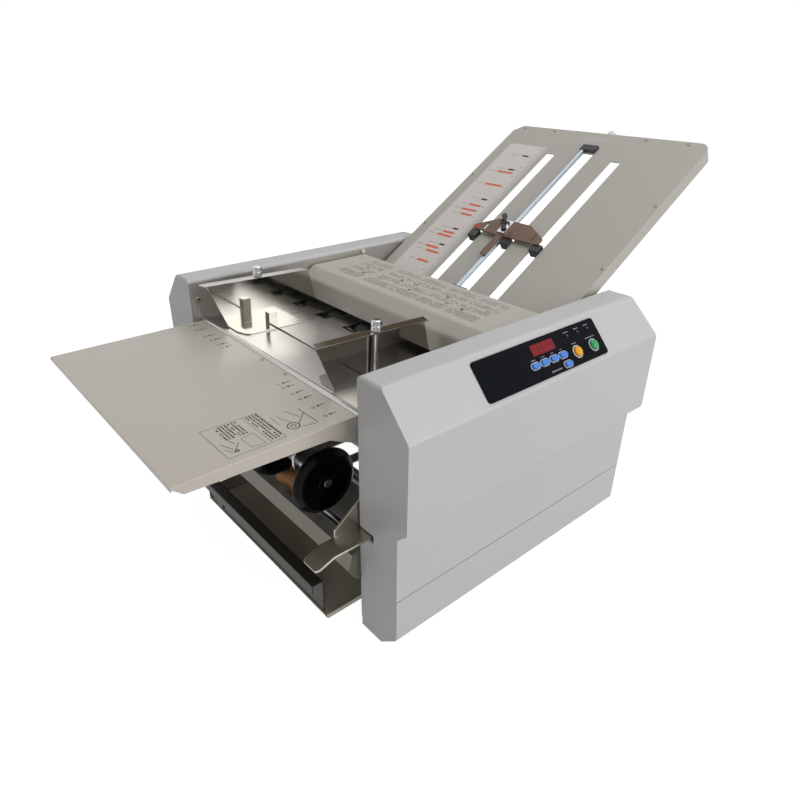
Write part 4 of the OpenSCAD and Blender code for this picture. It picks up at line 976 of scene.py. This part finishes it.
@dataclass
class FeedTable:
    """Feed table with its printed size marks and its block of small print."""

    shop: Workshop
    bevel_mm: float = 0.7
    lift: float = 0.06
    arrow_over: float = 1.5
    ring_over: float = 1.4
    size_marks: tuple[tuple[float, str], ...] = (
        (-62.0, "5"), (-72.0, "10"), (-90.0, "15"), (-105.5, "20"), (-129.0, "25"), (-151.0, "30"),
        (161.0, "30"), (141.0, "25"), (115.0, "20"), (99.0, "15"), (80.0, "10"), (69.0, "5"))
    tick: Point = (-1.0, -10.0)
    tick_width: float = 1.1
    arrow_tip: float = -4.5
    arrow_half: float = 1.8
    number_x: float = -15.0
    number_size: float = 5.5
    text_blocks: tuple[tuple[Point, int, float, int, int], ...] = (
        ((-101.3, -118.5), 7, 24.0, 7, 3), ((-72.6, -131.0), 4, 50.0, 13, 5))
    text_pitch: float = 3.5
    text_height: float = 1.7
    border: tuple[Point, Point] = ((-126.0, -161.8), (-65.9, -102.3))
    border_width: float = 0.6
    drawn_lines: tuple[tuple[tuple[Point, ...], float], ...] = (
        (((-81.2, -102.8), (-81.2, -159.8)), 0.5),
        (((-100.9, -137.6), (-87.1, -134.7), (-85.9, -157.8), (-99.8, -156.9), (-100.9, -137.6)), 0.6),
        (((-120.5, -135.3), (-114.9, -150.3)), 0.9), (((-111.5, -134.2), (-108.9, -142.7)), 0.9),
        (((-105.0, -141.7), (-113.0, -150.7)), 0.9), (((-121.3, -144.9), (-119.0, -152.0), (-115.0, -156.0)), 0.7),
        (((-59.2, -119.2), (-59.5, -138.0)), 0.6), (((-53.8, -122.5), (-48.1, -141.1)), 0.8),
        (((-41.5, -116.4), (-35.8, -136.0)), 0.9), (((-28.1, -122.3), (-27.9, -131.4), (-27.5, -157.6)), 1.1),
        (((-27.9, -131.4), (-43.5, -147.3)), 1.0), (((-42.5, -153.4), (-38.5, -156.2)), 0.9),
        (((-37.5, -153.6), (-34.0, -157.6)), 0.9), (((-33.5, -154.0), (-30.9, -158.4)), 0.9))
    drawn_rings: tuple[tuple[Point, float, float], ...] = (
        ((-50.0, -148.1), 5.6, 6.7), ((-50.0, -148.1), 2.2, 3.0), ((-113.2, -153.6), 1.0, 2.3))

    def build(self) -> None:
        """Dresses the table and prints on it."""
        self.shop.dress("feed_table", TABLE, self.bevel_mm)
        place = self.shop.datum.level(TABLE_TOP)
        marks = Sketch("table_marks", place)
        near, far = self.tick
        for y, number in self.size_marks:
            marks.line((near, y), (far, y), self.tick_width, self.lift)
            marks.sheet([(far, y - self.arrow_half), (far, y + self.arrow_half), (self.arrow_tip, y)],
                        self.lift * self.arrow_over)
            marks.words(number, (self.number_x, y, self.lift), self.number_size, -ACROSS_DEG)
        marks.build(INK)
        self._small_print(place)

    def _small_print(self, place: Matrix) -> None:
        """Prints the block of small print and the two line drawings.

        Args:
            place: the matrix of the table's plane.
        """
        text = Sketch("table_text", place)
        for centre, rows, length, words, seed in self.text_blocks:
            strokes = Repeat.strokes(rows, self.text_pitch, length, words, self.text_height, seed, PRINT_INK)
            text.add(strokes, moved((*centre, self.lift), -ACROSS_DEG))
        text.build(PRINT_INK)
        drawing = Sketch("table_drawing", place).frame(*self.border, self.border_width, self.lift)
        for path, width in self.drawn_lines:
            for start, end in zip(path, path[1:]):
                drawing.line(start, end, width, self.lift)
        drawing.build(GREY_INK)
        rings = Sketch("table_rings", place)
        for centre, inner, outer in self.drawn_rings:
            rings.ring(centre, inner, outer, self.lift * self.ring_over)
        rings.build(INK)


@dataclass
class Deck:
    """Polished deck, feed tires and the shaft under it."""

    shop: Workshop
    skins: tuple[Skin, ...] = (("deck_plate", DECK, 0.0), ("feed_tires", TYRE, 0.8))
    shaft_bevel_mm: float = 0.2
    pad_bevel_mm: float = 0.4

    def build(self) -> None:
        """Dresses the deck and what feeds the paper."""
        self.shop.dress_all(self.skins)
        self.shop.dress("feed_shaft", SHAFT, self.shaft_bevel_mm, paint=[(BLACK, is_gear)])
        self.shop.dress("separator_pad", PAD, self.pad_bevel_mm)


@dataclass
class SideGuides:
    """Mirror-polished side guides with their knurled knobs."""

    shop: Workshop
    deck_origin: Place = (14.0, 0.0, 268.0)
    deck_slope_deg: float = -2.0
    slot_u: float = 63.0
    knob_ys: tuple[tuple[str, float], ...] = (("near", -116.0), ("far", 138.0))
    guide_bevel_mm: float = 0.25
    knob_bevel_mm: float = 0.3
    knob_low: float = 60.3
    knob_radius: float = 5.5
    rim_lows: tuple[float, ...] = (0.8, 7.3)
    ridge_count: int = 30
    ridge_width: float = 0.55
    ridge_height: float = 4.9

    def build(self) -> None:
        """Dresses both guides and cuts the knobs' knurled rims."""
        place = self.shop.datum.tilted(self.deck_origin, self.deck_slope_deg)
        for side, y in self.knob_ys:
            self.shop.dress_all([(f"{side}_guide", MIRROR, self.guide_bevel_mm),
                                 (f"{side}_guide_knob", CHROME, self.knob_bevel_mm)])
            rim = Sketch(f"{side}_knob_rim", place)
            for low in self.rim_lows:
                ridges = Repeat.ridges(self.ridge_count, self.knob_radius, self.ridge_width, self.ridge_height, CHROME)
                rim.add(ridges, moved((self.slot_u, y, self.knob_low + low + self.ridge_height / 2)))
            rim.build(CHROME, f"{side}_knob")


@dataclass
class Bridge:
    """Bridge cover with its printed lines."""

    shop: Workshop
    top_z: float = 312.5
    bevel_mm: float = 0.6
    lift: float = 0.08
    columns: tuple[float, ...] = (-112.0, -58.0, -4.0, 50.0, 112.0)
    row_length: float = 46.0
    row_pitch: float = 4.4
    row_words: int = 14
    stroke_height: float = 0.95
    seed_step: int = 31
    bands: tuple[tuple[float, int, float], ...] = (
        (214.5, 4, 0.95), (237.0, 3, 0.8), (256.0, 3, 0.75), (274.0, 3, 0.9))
    sign_x: tuple[float, ...] = (227.5, 247.0)
    sign_shifts: tuple[float, ...] = (12.0, -14.0, 2.0)
    sign_ring: Point = (2.0, 2.6)
    sign_half: Point = (1.4, 2.6)

    def build(self) -> None:
        """Dresses the cover and prints its table of lines."""
        self.shop.dress("bridge_cover", BRIDGE, self.bevel_mm, MOULDED_CREASE_DEG)
        place = self.shop.datum.level(self.top_z)
        table, signs = Sketch("bridge_print", place), Sketch("bridge_signs", place)
        for column, centre_y in enumerate(self.columns):
            for band, (centre_x, rows, share) in enumerate(self.bands):
                strokes = Repeat.strokes(rows, self.row_pitch, self.row_length, self.row_words, self.stroke_height,
                                         self.seed_step * column + band, BRIDGE_INK, share)
                table.add(strokes, moved((centre_x, centre_y, self.lift), ACROSS_DEG))
            for band, x in enumerate(self.sign_x):
                y = centre_y + self.sign_shifts[(column + band) % len(self.sign_shifts)]
                if (column + band) % 2:
                    signs.ring((x, y), *self.sign_ring, self.lift)
                else:
                    wide, high = self.sign_half
                    signs.sheet(rectangle((x - wide, y - high), (x + wide, y + high)), self.lift)
        table.build(BRIDGE_INK, "bridge")
        signs.build(PRINT_INK, "bridge")


@dataclass
class FoldPlate:
    """Sloped fold plate with its printed scale and its stop.

    Places on the plate are its own: S runs up the slope and Y across it.
    """

    shop: Workshop
    plate_bevel_mm: float = 0.9
    skins: tuple[Skin, ...] = (
        ("stop_rod", ROD, 0.3), ("stop_bar", BRONZE, 0.35), ("stop_blocks", BLACK, 0.6), ("stop_clamp", CHROME, 0.4),
        ("clamp_wing", BLACK, 0.6), ("trim_knob", WHITE, 0.8), ("lower_plate", PLATE, 0.2),
        ("lower_stop", BLACK, 0.4))
    ear_half: float = 15.0
    ear_low: float = -1.4
    lift: float = 0.07
    label: tuple[Point, Point] = ((-50.0, 76.0), (267.0, 154.0))
    label_corner: float = 2.0
    end_label: tuple[Point, Point] = ((293.5, -13.0), (305.0, 27.0))
    end_label_corner: float = 2.5
    pointer: tuple[Point, ...] = ((61.6, 55.5), (65.6, 57.6), (69.8, 56.0), (68.4, 60.6), (66.6, 67.6), (63.2, 63.2))
    pointer_z: Point = (7.02, 7.32)
    border_s: Point = (-48.0, 264.0)
    border_lines: tuple[Point, ...] = ((78.4, 0.7), (82.2, 0.5))
    ticks: tuple[int, float, float, float] = (62, 5.0, 0.4, 2.6)
    ticks_at: Point = (-44.0, 86.0)
    leader_before: Point = (-6.0, -2.0)
    leader_after: Point = (1.5, 13.0)
    leader_width: float = 0.5
    words_after: float = 18.0
    words: tuple[float, int, float] = (9.0, 4, 1.2)
    number_count: int = 13
    number_s: Point = (-38.0, 25.0)
    number_y: float = 91.0
    number_size: float = 5.2
    black_width: float = 3.4
    black_bars: tuple[Bar, ...] = (
        (240.0, 96.0, 109.0), (204.0, 98.0, 111.0), (128.0, 95.5, 108.0), (55.0, 97.0, 108.0), (18.0, 95.0, 106.0))
    red_width: float = 4.4
    red_grow: Point = (1.0, 3.0)
    red_bars: tuple[Bar, ...] = (
        (196.0, 97.0, 125.0), (163.5, 95.0, 125.0), (112.0, 98.0, 118.0), (100.0, 97.0, 125.0), (89.0, 98.0, 118.0),
        (45.0, 98.0, 118.0), (37.0, 98.0, 124.0), (9.0, 102.0, 126.0), (0.0, 94.0, 117.0), (-22.0, 96.0, 116.0))

    def build(self) -> None:
        """Dresses the plate, its scale and its stop."""
        place = self.shop.datum.tilted(PLATE_ORIGIN, PLATE_SLOPE_DEG)
        own = self.shop.datum.seen_from(place)
        self.shop.dress("upper_plate", PLATE, self.plate_bevel_mm)
        self.shop.dress("upper_plate_back", PLATE, 0.0, paint=[(BLACK, lambda point: self._is_ear(own @ point))])
        self.shop.dress_all(self.skins)
        Sketch("scale_label", place).sheet(rectangle(*self.label, self.label_corner), self.lift).build(LABEL)
        self._scale(place)
        Sketch("end_label", place).sheet(rectangle(*self.end_label, self.end_label_corner),
                                         self.lift).build(PALE_LABEL)
        Sketch("stop_pointer", place).prism(self.pointer, *self.pointer_z).build(POINTER_RED, "fold_stop")

    def _is_ear(self, local: Vector) -> bool:
        """Says whether a point of the plate's own plane lies on the dark ears at the ends of the rod."""
        return abs(local.y) < self.ear_half and local.z > self.ear_low

    def _scale(self, place: Matrix) -> None:
        """Prints the scale's lines, bars and numbers.

        Args:
            place: the matrix of the plate's plane.
        """
        high = self.lift * 2
        border = Sketch("scale_border", place)
        for y, width in self.border_lines:
            border.line((self.border_s[0], y), (self.border_s[1], y), width, high)
        border.build(GREY_INK)
        fine = Sketch("scale_lines", place).add(Repeat.ticks(*self.ticks, FAINT_INK), moved((*self.ticks_at, high)))
        length, words, height = self.words
        for index, (s, y0, y1) in enumerate(self.black_bars + self.red_bars):
            for y, (start, end) in ((y1, self.leader_after), (y0, self.leader_before)):
                fine.line((s, y + start), (s, y + end), self.leader_width, high)
            fine.add(Repeat.strokes(1, 1.0, length, words, height, index, FAINT_INK),
                     moved((s, y1 + self.words_after, high), ACROSS_DEG))
        fine.build(FAINT_INK)
        numbers = Sketch("scale_numbers", place)
        for index in range(self.number_count):
            numbers.words(str(index), (self.number_s[0] + index * self.number_s[1], self.number_y, high),
                          self.number_size, -ACROSS_DEG)
        numbers.build(GREY_INK)
        for name, bars, width, (below, above), finish in (
                ("scale_black_bars", self.black_bars, self.black_width, (0.0, 0.0), INK),
                ("scale_bars", self.red_bars, self.red_width, self.red_grow, SCALE_RED)):
            sketch = Sketch(name, place)
            for s, y0, y1 in bars:
                sketch.sheet(rectangle((s - width / 2, y0 - below), (s + width / 2, y1 + above)), high)
            sketch.build(finish)


@dataclass
class FoldRollers:
    """Fold rollers, shafts with gears, motor and belts."""

    shop: Workshop
    roller_bevel_mm: float = 0.3
    motor_bevel_mm: float = 0.6
    pulley_bevel_mm: float = 0.2
    pulley_from_y: float = 215.5
    skins: tuple[Skin, ...] = (("drive_belt", TYRE, 0.0), ("power_inlet", BLACK, 0.5),
                               ("power_rocker", RED_SWITCH, 0.5))

    def build(self) -> None:
        """Dresses what drives the paper."""
        for letter in "abcd":
            self.shop.dress(f"fold_roller_{letter}", GREEN_RUBBER, self.roller_bevel_mm)
            self.shop.dress(f"roller_shaft_{letter}", SHAFT, 0.0, paint=[(BLACK, is_gear)])
        self.shop.dress("drive_motor", DARK_SHEET, self.motor_bevel_mm)
        self.shop.dress("motor_pulley", SHAFT, self.pulley_bevel_mm,
                        paint=[(BLACK, lambda point: point.y > self.pulley_from_y)])
        self.shop.dress_all(self.skins)


@dataclass
class ExitUnit:
    """Stacker wheels, exit roller, comb, tray, fence and release lever."""

    shop: Workshop
    skins: tuple[Skin, ...] = (("exit_wheels", WHEEL, 0.5), ("exit_shaft", SHAFT, 0.3))
    roller_bevel_mm: float = 0.4
    roller_axis: Point = (20.0, 98.18)
    shaft_radius: float = 5.3
    comb_bevel_mm: float = 0.2
    tray_bevel_mm: float = 0.3
    tray_end_y: float = 151.2
    tray_floor_z: float = 1.6
    late_skins: tuple[Skin, ...] = (("tray_fence", DARK_SHEET, 0.3), ("release_lever", LEVER, 0.4))

    def build(self) -> None:
        """Dresses the exit side."""
        self.shop.dress_all(self.skins)
        self.shop.dress("exit_roller", SHAFT, self.roller_bevel_mm,
                        paint=[(TAN_RUBBER, self._is_tyre), (BLACK, is_gear)])
        self.shop.dress("exit_comb", COMB, self.comb_bevel_mm)
        # The tray's far wall is the same sheet as the tray; it is given the frame finish as painted light, so that it
        # shows pale as where light falls on it.
        self.shop.dress("exit_tray", TRAY_SHEET, self.tray_bevel_mm, paint=[(STEEL_FRAME, self._is_end_wall)])
        self.shop.dress_all(self.late_skins)

    def _is_end_wall(self, point: Vector) -> bool:
        """Says whether a point lies on the tray's far wall, which gets the frame finish instead of the tray sheet's as
        painted light, for the light it catches.
        """
        return point.y > self.tray_end_y and point.z > self.tray_floor_z

    def _is_tyre(self, point: Vector) -> bool:
        """Says whether a point lies on the exit roller's tires."""
        reach = math.hypot(point.x - self.roller_axis[0], point.z - self.roller_axis[1])
        return reach > self.shaft_radius and point.y < GEARS_FROM_Y


@dataclass
class ControlPanel:
    """Control panel with its display, keys, buttons and printed marks.

    Places on the panel are its own: X runs along the machine and T down the panel's face.
    """

    shop: Workshop
    origin: Place = (0.0, -220.0, 323.5)
    angle_deg: float = 47.4
    face: float = 1.6
    print_lift: float = 0.06
    panel_bevel_mm: float = 0.3
    board_z: float = -0.5
    skins: tuple[Skin, ...] = (
        ("display_window", DISPLAY, 0.2), ("count_key_1", KEY, 0.6), ("count_key_2", KEY, 0.6),
        ("count_key_3", KEY, 0.6), ("count_key_4", KEY, 0.6), ("set_key", KEY, 0.6), ("stop_button", YELLOW, 0.5),
        ("start_button", GREEN, 0.5))
    keys_at: tuple[Point, ...] = ((192.3, 36.4), (208.2, 36.4), (224.1, 36.4), (240.0, 36.4), (241.0, 48.0))
    key_rims: tuple[tuple[Point, float], ...] = (((7.5, 4.4), 4.2), ((6.4, 3.3), 3.1))
    buttons_at: tuple[Point, ...] = ((265.1, 39.3), (296.1, 39.3))
    button_ring: Point = (6.4, 7.9)
    lamps_at: tuple[Point, ...] = ((260.5, 18.2), (279.5, 18.2), (298.5, 18.2))
    lamp_profile: tuple[Point, ...] = ((1.6, 0.0), (1.6, 0.6), (1.1, 1.1), (0.0, 1.3))
    lamp_sides: int = 20
    display_at: Point = (195.5, 13.8)
    display_height: float = 12.8
    digit_count: int = 4
    digit_first: float = 6.4
    digit_pitch: float = 8.6
    digit_size: Point = (4.4, 7.6)
    digit_stroke: float = 0.9
    digit_gaps: Point = (0.7, 0.6)
    digit_lift: float = 0.86
    letter_pitch: float = 1.3
    printed_words: tuple[tuple[float, float, float, float], ...] = (
        (192.3, 29.8, 6.0, 1.0), (208.2, 29.8, 5.0, 1.0), (224.1, 29.8, 3.4, 1.0), (240.0, 29.8, 1.8, 1.0),
        (260.5, 13.8, 6.6, 1.2), (279.5, 13.8, 6.6, 1.2), (298.5, 13.8, 6.6, 1.2),
        (265.1, 28.9, 6.4, 1.2), (295.1, 28.9, 16.0, 1.3), (220.0, 49.5, 17.0, 1.8))

    def build(self) -> None:
        """Dresses the panel and prints on it."""
        place = self.shop.datum.panel(self.origin, self.angle_deg)
        own = self.shop.datum.seen_from(place)
        self.shop.dress("control_panel", PANEL, self.panel_bevel_mm,
                        paint=[(BOARD, lambda point: (own @ point).z < self.board_z)])
        self.shop.dress_all(self.skins)
        self._rings(place)
        self._digits(place)
        self._words(place)

    def _rings(self, place: Matrix) -> None:
        """Prints the pale rims round the keys and buttons, and sets the small lamps.

        Args:
            place: the matrix of the panel's plane.
        """
        rings = Sketch("key_rims", place)
        high = self.face + self.print_lift
        for x, t in self.keys_at:
            outer, inner = (rectangle((x - half[0], -t - half[1]), (x + half[0], -t + half[1]), corner)
                            for half, corner in self.key_rims)
            rings.band(outer, inner, high)
        for x, t in self.buttons_at:
            rings.ring((x, -t), *self.button_ring, high)
        rings.build(KEY_RING)
        lamps = Sketch("panel_lamps", place)
        for x, t in self.lamps_at:
            lamps.lathe(self.lamp_profile, (x, -t, self.face), self.lamp_sides)
        lamps.build(LAMP)

    def _digits(self, place: Matrix) -> None:
        """Lights the display's digits.

        Args:
            place: the matrix of the panel's plane.
        """
        digits = Sketch("display_digits", place)
        high = self.face + self.digit_lift
        middle = -self.display_at[1] - self.display_height / 2
        wide, tall = (size / 2 for size in self.digit_size)
        end, centre = self.digit_gaps
        for index in range(self.digit_count):
            x = self.display_at[0] + self.digit_first + index * self.digit_pitch
            for side in (-wide, wide):
                for low, top in ((-tall + end, -centre), (centre, tall - end)):
                    digits.line((x + side, middle + low), (x + side, middle + top), self.digit_stroke, high)
            for level in (-tall, tall):
                digits.line((x - wide + end, middle + level), (x + wide - end, middle + level),
                            self.digit_stroke, high)
        digits.build(DIGIT)

    def _words(self, place: Matrix) -> None:
        """Prints short plain strokes beside the keys, lamps and buttons.

        Args:
            place: the matrix of the panel's plane.
        """
        labels = Sketch("panel_marks", place)
        for index, (x, t, length, height) in enumerate(self.printed_words):
            letters = max(2, round(length / self.letter_pitch))
            labels.add(Repeat.strokes(1, 1.0, length, letters, height, index, WHITE_INK, 1.0),
                       moved((x, -t, self.face + self.print_lift)))
        labels.build(WHITE_INK)


@dataclass
class Screws:
    """Cross-recessed screws on the plate, the table and the frame plates."""

    shop: Workshop
    table_at: tuple[Point, ...] = ((5.2, 7.0), (5.2, -44.0))
    table_head: Point = (2.3, 1.2)
    frame_at: Point = (10.0, 296.0)
    frame_y: float = 182.0
    frame_head: Point = (4.0, 2.0)
    plate_at: tuple[Point, ...] = ((309.0, 154.9), (309.0, 91.5), (309.0, -77.4), (309.0, -144.3),
                                   (179.6, 171.0), (52.0, 171.0), (179.6, -171.0), (52.0, -171.0))
    plate_head: Point = (2.3, 1.6)
    sides: int = 20
    profile: tuple[Point, ...] = ((1.0, 0.0), (1.0, 0.45), (0.93, 0.75), (0.78, 0.95), (0.66, 1.0))
    cross: Point = (0.5, 0.13)
    cross_taper: float = 0.7
    cross_floor: float = 0.45

    def build(self) -> None:
        """Sets a head at each screw's place."""
        datum = self.shop.datum
        plate = datum.machine().inverted() @ datum.tilted(PLATE_ORIGIN, PLATE_SLOPE_DEG)
        plate_places = [plate @ Matrix.Translation((s, y, 0.0)) for s, y in self.plate_at]
        table_places = [Matrix.Translation((x, y, TABLE_TOP)) for x, y in self.table_at]
        frame_places = [moved((self.frame_at[0], side * self.frame_y, self.frame_at[1]), side * ACROSS_DEG, "X")
                        for side in (-1, 1)]
        heads = Sketch("screw_heads", datum.machine())
        for places, size in ((plate_places, self.plate_head), (table_places, self.table_head),
                             (frame_places, self.frame_head)):
            heads.add(Repeat.heads(self._head(*size), places, SCREW))
        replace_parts(heads.build(SCREW), "screws")

    def _head(self, radius: float, height: float) -> bpy.types.Mesh:
        """Makes a pan head with a cross recess, standing on the origin.

        Args:
            radius: the head's radius.
            height: its height.

        Returns:
            The head's mesh in millimetres.
        """
        shape = bmesh.new()
        rings = [[shape.verts.new((x, y, height * level)) for x, y in circle((0.0, 0.0), radius * share, self.sides)]
                 for share, level in self.profile]
        arm, half = (radius * share for share in self.cross)
        corners = [(arm, -half), (arm, half), (half, half), (half, arm), (-half, arm), (-half, half),
                   (-arm, half), (-arm, -half), (-half, -half), (-half, -arm), (half, -arm), (half, -half)]
        shape.faces.new(rings[0])
        rim = [shape.verts.new((x, y, height)) for x, y in corners]
        deep = [shape.verts.new((x * self.cross_taper, y * self.cross_taper, height * self.cross_floor))
                for x, y in corners]
        for lower, upper in (*zip(rings, rings[1:]), (rim, deep)):
            for k in range(len(lower)):
                ahead = (k + 1) % len(lower)
                shape.faces.new((lower[k], lower[ahead], upper[ahead], upper[k]))
        shape.faces.new(deep)
        edges = [shape.edges.get((loop[k], loop[(k + 1) % len(loop)])) for loop in (rings[-1], rim)
                 for k in range(len(loop))]
        bmesh.ops.triangle_fill(shape, use_beauty=True, edges=edges)
        bmesh.ops.recalc_face_normals(shape, faces=shape.faces)
        mesh = bpy.data.meshes.new("screw_head")
        shape.to_mesh(mesh)
        shape.free()
        return mesh


@dataclass(frozen=True)
class Lamp:
    """A square soft lamp of the studio."""

    name: str
    place: Place
    aim: Place
    size: float
    power: float
    mirrored: bool = True

    def hang(self) -> None:
        """Hangs the lamp at its place, turned to its aim; the steel shows it where it is mirrored."""
        light = bpy.data.lights.new(self.name, "AREA")
        light.shape = "SQUARE"
        light.size = self.size
        light.energy = self.power
        lamp = bpy.data.objects.new(self.name, light)
        lamp.location = self.place
        lamp.visible_glossy = self.mirrored
        lamp.rotation_euler = (Vector(self.aim) - Vector(self.place)).to_track_quat("-Z", "Y").to_euler()
        bpy.context.scene.collection.objects.link(lamp)


@dataclass
class Studio:
    """Floor, world, lamps and the camera at the photograph's place."""

    shop: Workshop
    eye: Place = (-324.2, -618.5, 583.3)
    yaw_deg: float = -41.1
    pitch_deg: float = 27.91
    roll_deg: float = 0.85
    focal_px: float = 639.85
    image_px: float = 800.0
    sensor_mm: float = 36.0
    clip_start: float = 0.01
    floor_half: float = 6.0
    floor_shade: float = 0.36
    floor_roughness: float = 0.9
    floor_reach: Point = (0.4, 1.2)
    floor_glow: Point = (0.93, 1.0)
    fill_light: float = 0.14
    dark_toward: Place = (0.622, 0.711, 0.326)
    dark_angles: Point = (6.0, 11.0)
    dark_shade: tuple[float, float, float] = (104, 92, 78)
    lamps: tuple[Lamp, ...] = (
        Lamp("top_lamp", (0.3, -0.25, 1.95), (0.0, 0.0, 0.2), 1.5, 11.5),
        Lamp("side_lamp", (0.5, -2.1, 0.9), (0.0, 0.0, 0.2), 1.4, 22.0),
        Lamp("rear_lamp", (1.7, 1.3, 1.5), (0.1, 0.0, 0.3), 1.2, 8.0, mirrored=False),
        Lamp("left_lamp", (-1.9, 0.3, 1.0), (0.0, 0.0, 0.3), 1.2, 3.5),
        Lamp("fill_lamp", (-0.72, -0.86, 0.34), (-0.15, 0.0, 0.05), 0.3, 0.9, mirrored=False))

    def build(self) -> None:
        """Sets up the studio."""
        self._floor()
        self._world()
        for lamp in self.lamps:
            lamp.hang()
        self._camera()

    def _floor(self) -> None:
        """Lays a pale floor that keeps the object's shadow."""
        far = self.floor_half
        mesh = Sketch("floor", Matrix.Identity(4)).sheet(rectangle((-far, -far), (far, far)), 0.0).placed()
        floor = bpy.data.objects.new("floor", mesh)
        bpy.context.scene.collection.objects.link(floor)
        material = bpy.data.materials.new("studio_floor")
        material.use_nodes = True
        tree = material.node_tree
        place = add_node(tree, "ShaderNodeTexCoord")
        reach = add_node(tree, "ShaderNodeVectorMath", {0: place.outputs["Object"]}, operation="LENGTH")
        fade = add_node(tree, "ShaderNodeMapRange", {
            "Value": reach.outputs["Value"], "From Min": self.floor_reach[0], "From Max": self.floor_reach[1],
            "To Min": self.floor_glow[0], "To Max": self.floor_glow[1]})
        shown = self._shown(tree, add_node(tree, "ShaderNodeLightPath"))
        feed(tree, tree.nodes["Principled BSDF"], {
            "Base Color": (self.floor_shade, self.floor_shade, self.floor_shade, 1.0),
            "Roughness": self.floor_roughness, "Specular IOR Level": 0.0, "Emission Color": PURE_WHITE,
            "Emission Strength": add_math(tree, "MULTIPLY", shown, fade.outputs["Result"])})
        mesh.materials.append(material)

    @staticmethod
    def _shown(tree: bpy.types.NodeTree, path: bpy.types.Node) -> bpy.types.NodeSocket:
        """Makes the background white without lighting the object.

        Args:
            tree: the tree that the nodes go into.
            path: its Light Path node.

        Returns:
            A socket that is 1 for what the camera, a reflection or a clear piece shows, and otherwise 0.
        """
        shown = path.outputs["Is Camera Ray"]
        for name in ("Is Glossy Ray", "Is Transmission Ray"):
            shown = add_math(tree, "MAXIMUM", shown, path.outputs[name])
        return shown

    def _world(self) -> None:
        """Makes a white surrounding with one brown patch that only the steel mirrors."""
        world = bpy.data.worlds.new("studio")
        bpy.context.scene.world = world
        world.use_nodes = True
        tree = world.node_tree
        path = add_node(tree, "ShaderNodeLightPath")
        place = add_node(tree, "ShaderNodeTexCoord")
        nearness = add_node(tree, "ShaderNodeVectorMath", {0: place.outputs["Generated"], 1: self.dark_toward},
                            operation="DOT_PRODUCT")
        inner, outer = (math.cos(math.radians(angle)) for angle in self.dark_angles)
        patch = add_node(tree, "ShaderNodeMapRange", {"Value": nearness.outputs["Value"], "From Min": outer,
                                                      "From Max": inner})
        mirrored = add_math(tree, "MULTIPLY", patch.outputs["Result"], path.outputs["Is Glossy Ray"])
        tint = add_node(tree, "ShaderNodeMixRGB", {"Fac": mirrored, "Color1": PURE_WHITE,
                                                   "Color2": colour(*self.dark_shade)})
        level = add_math(tree, "MULTIPLY_ADD", self._shown(tree, path), 1.0 - self.fill_light, self.fill_light)
        feed(tree, tree.nodes["Background"], {"Color": tint.outputs["Color"], "Strength": level})

    def _camera(self) -> None:
        """Places the camera at the photograph's viewpoint."""
        yaw, pitch, roll = (math.radians(v) for v in (self.yaw_deg, self.pitch_deg, self.roll_deg))
        back = Vector((math.sin(yaw) * math.cos(pitch), -math.cos(yaw) * math.cos(pitch), math.sin(pitch)))
        level_right = Vector((math.cos(yaw), math.sin(yaw), 0.0))
        level_up = back.cross(level_right)
        right = level_right * math.cos(roll) + level_up * math.sin(roll)
        up = level_up * math.cos(roll) - level_right * math.sin(roll)
        turn = Matrix((right, up, back)).transposed().to_4x4()
        data = bpy.data.cameras.new("camera")
        data.sensor_width = self.sensor_mm
        data.lens = self.focal_px / self.image_px * self.sensor_mm
        data.clip_start = self.clip_start
        camera = bpy.data.objects.new("camera", data)
        camera.matrix_world = Matrix.Translation(self.shop.datum.machine() @ Vector(self.eye)) @ turn
        bpy.context.scene.collection.objects.link(camera)
        bpy.context.scene.camera = camera


def main() -> None:
    """Builds the machine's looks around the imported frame, in order."""
    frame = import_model()
    bpy.context.scene.view_settings.view_transform = "Standard"
    shop = Workshop(frame)
    for unit in (Housing(shop), FeedTable(shop), Deck(shop), SideGuides(shop), Bridge(shop), FoldPlate(shop),
                 FoldRollers(shop), ExitUnit(shop), ControlPanel(shop), Screws(shop), Studio(shop)):
        unit.build()
        LOG.info("built %s", type(unit).__name__)


if __name__ == "__main__":
    logging.basicConfig(level=logging.INFO)
    main()
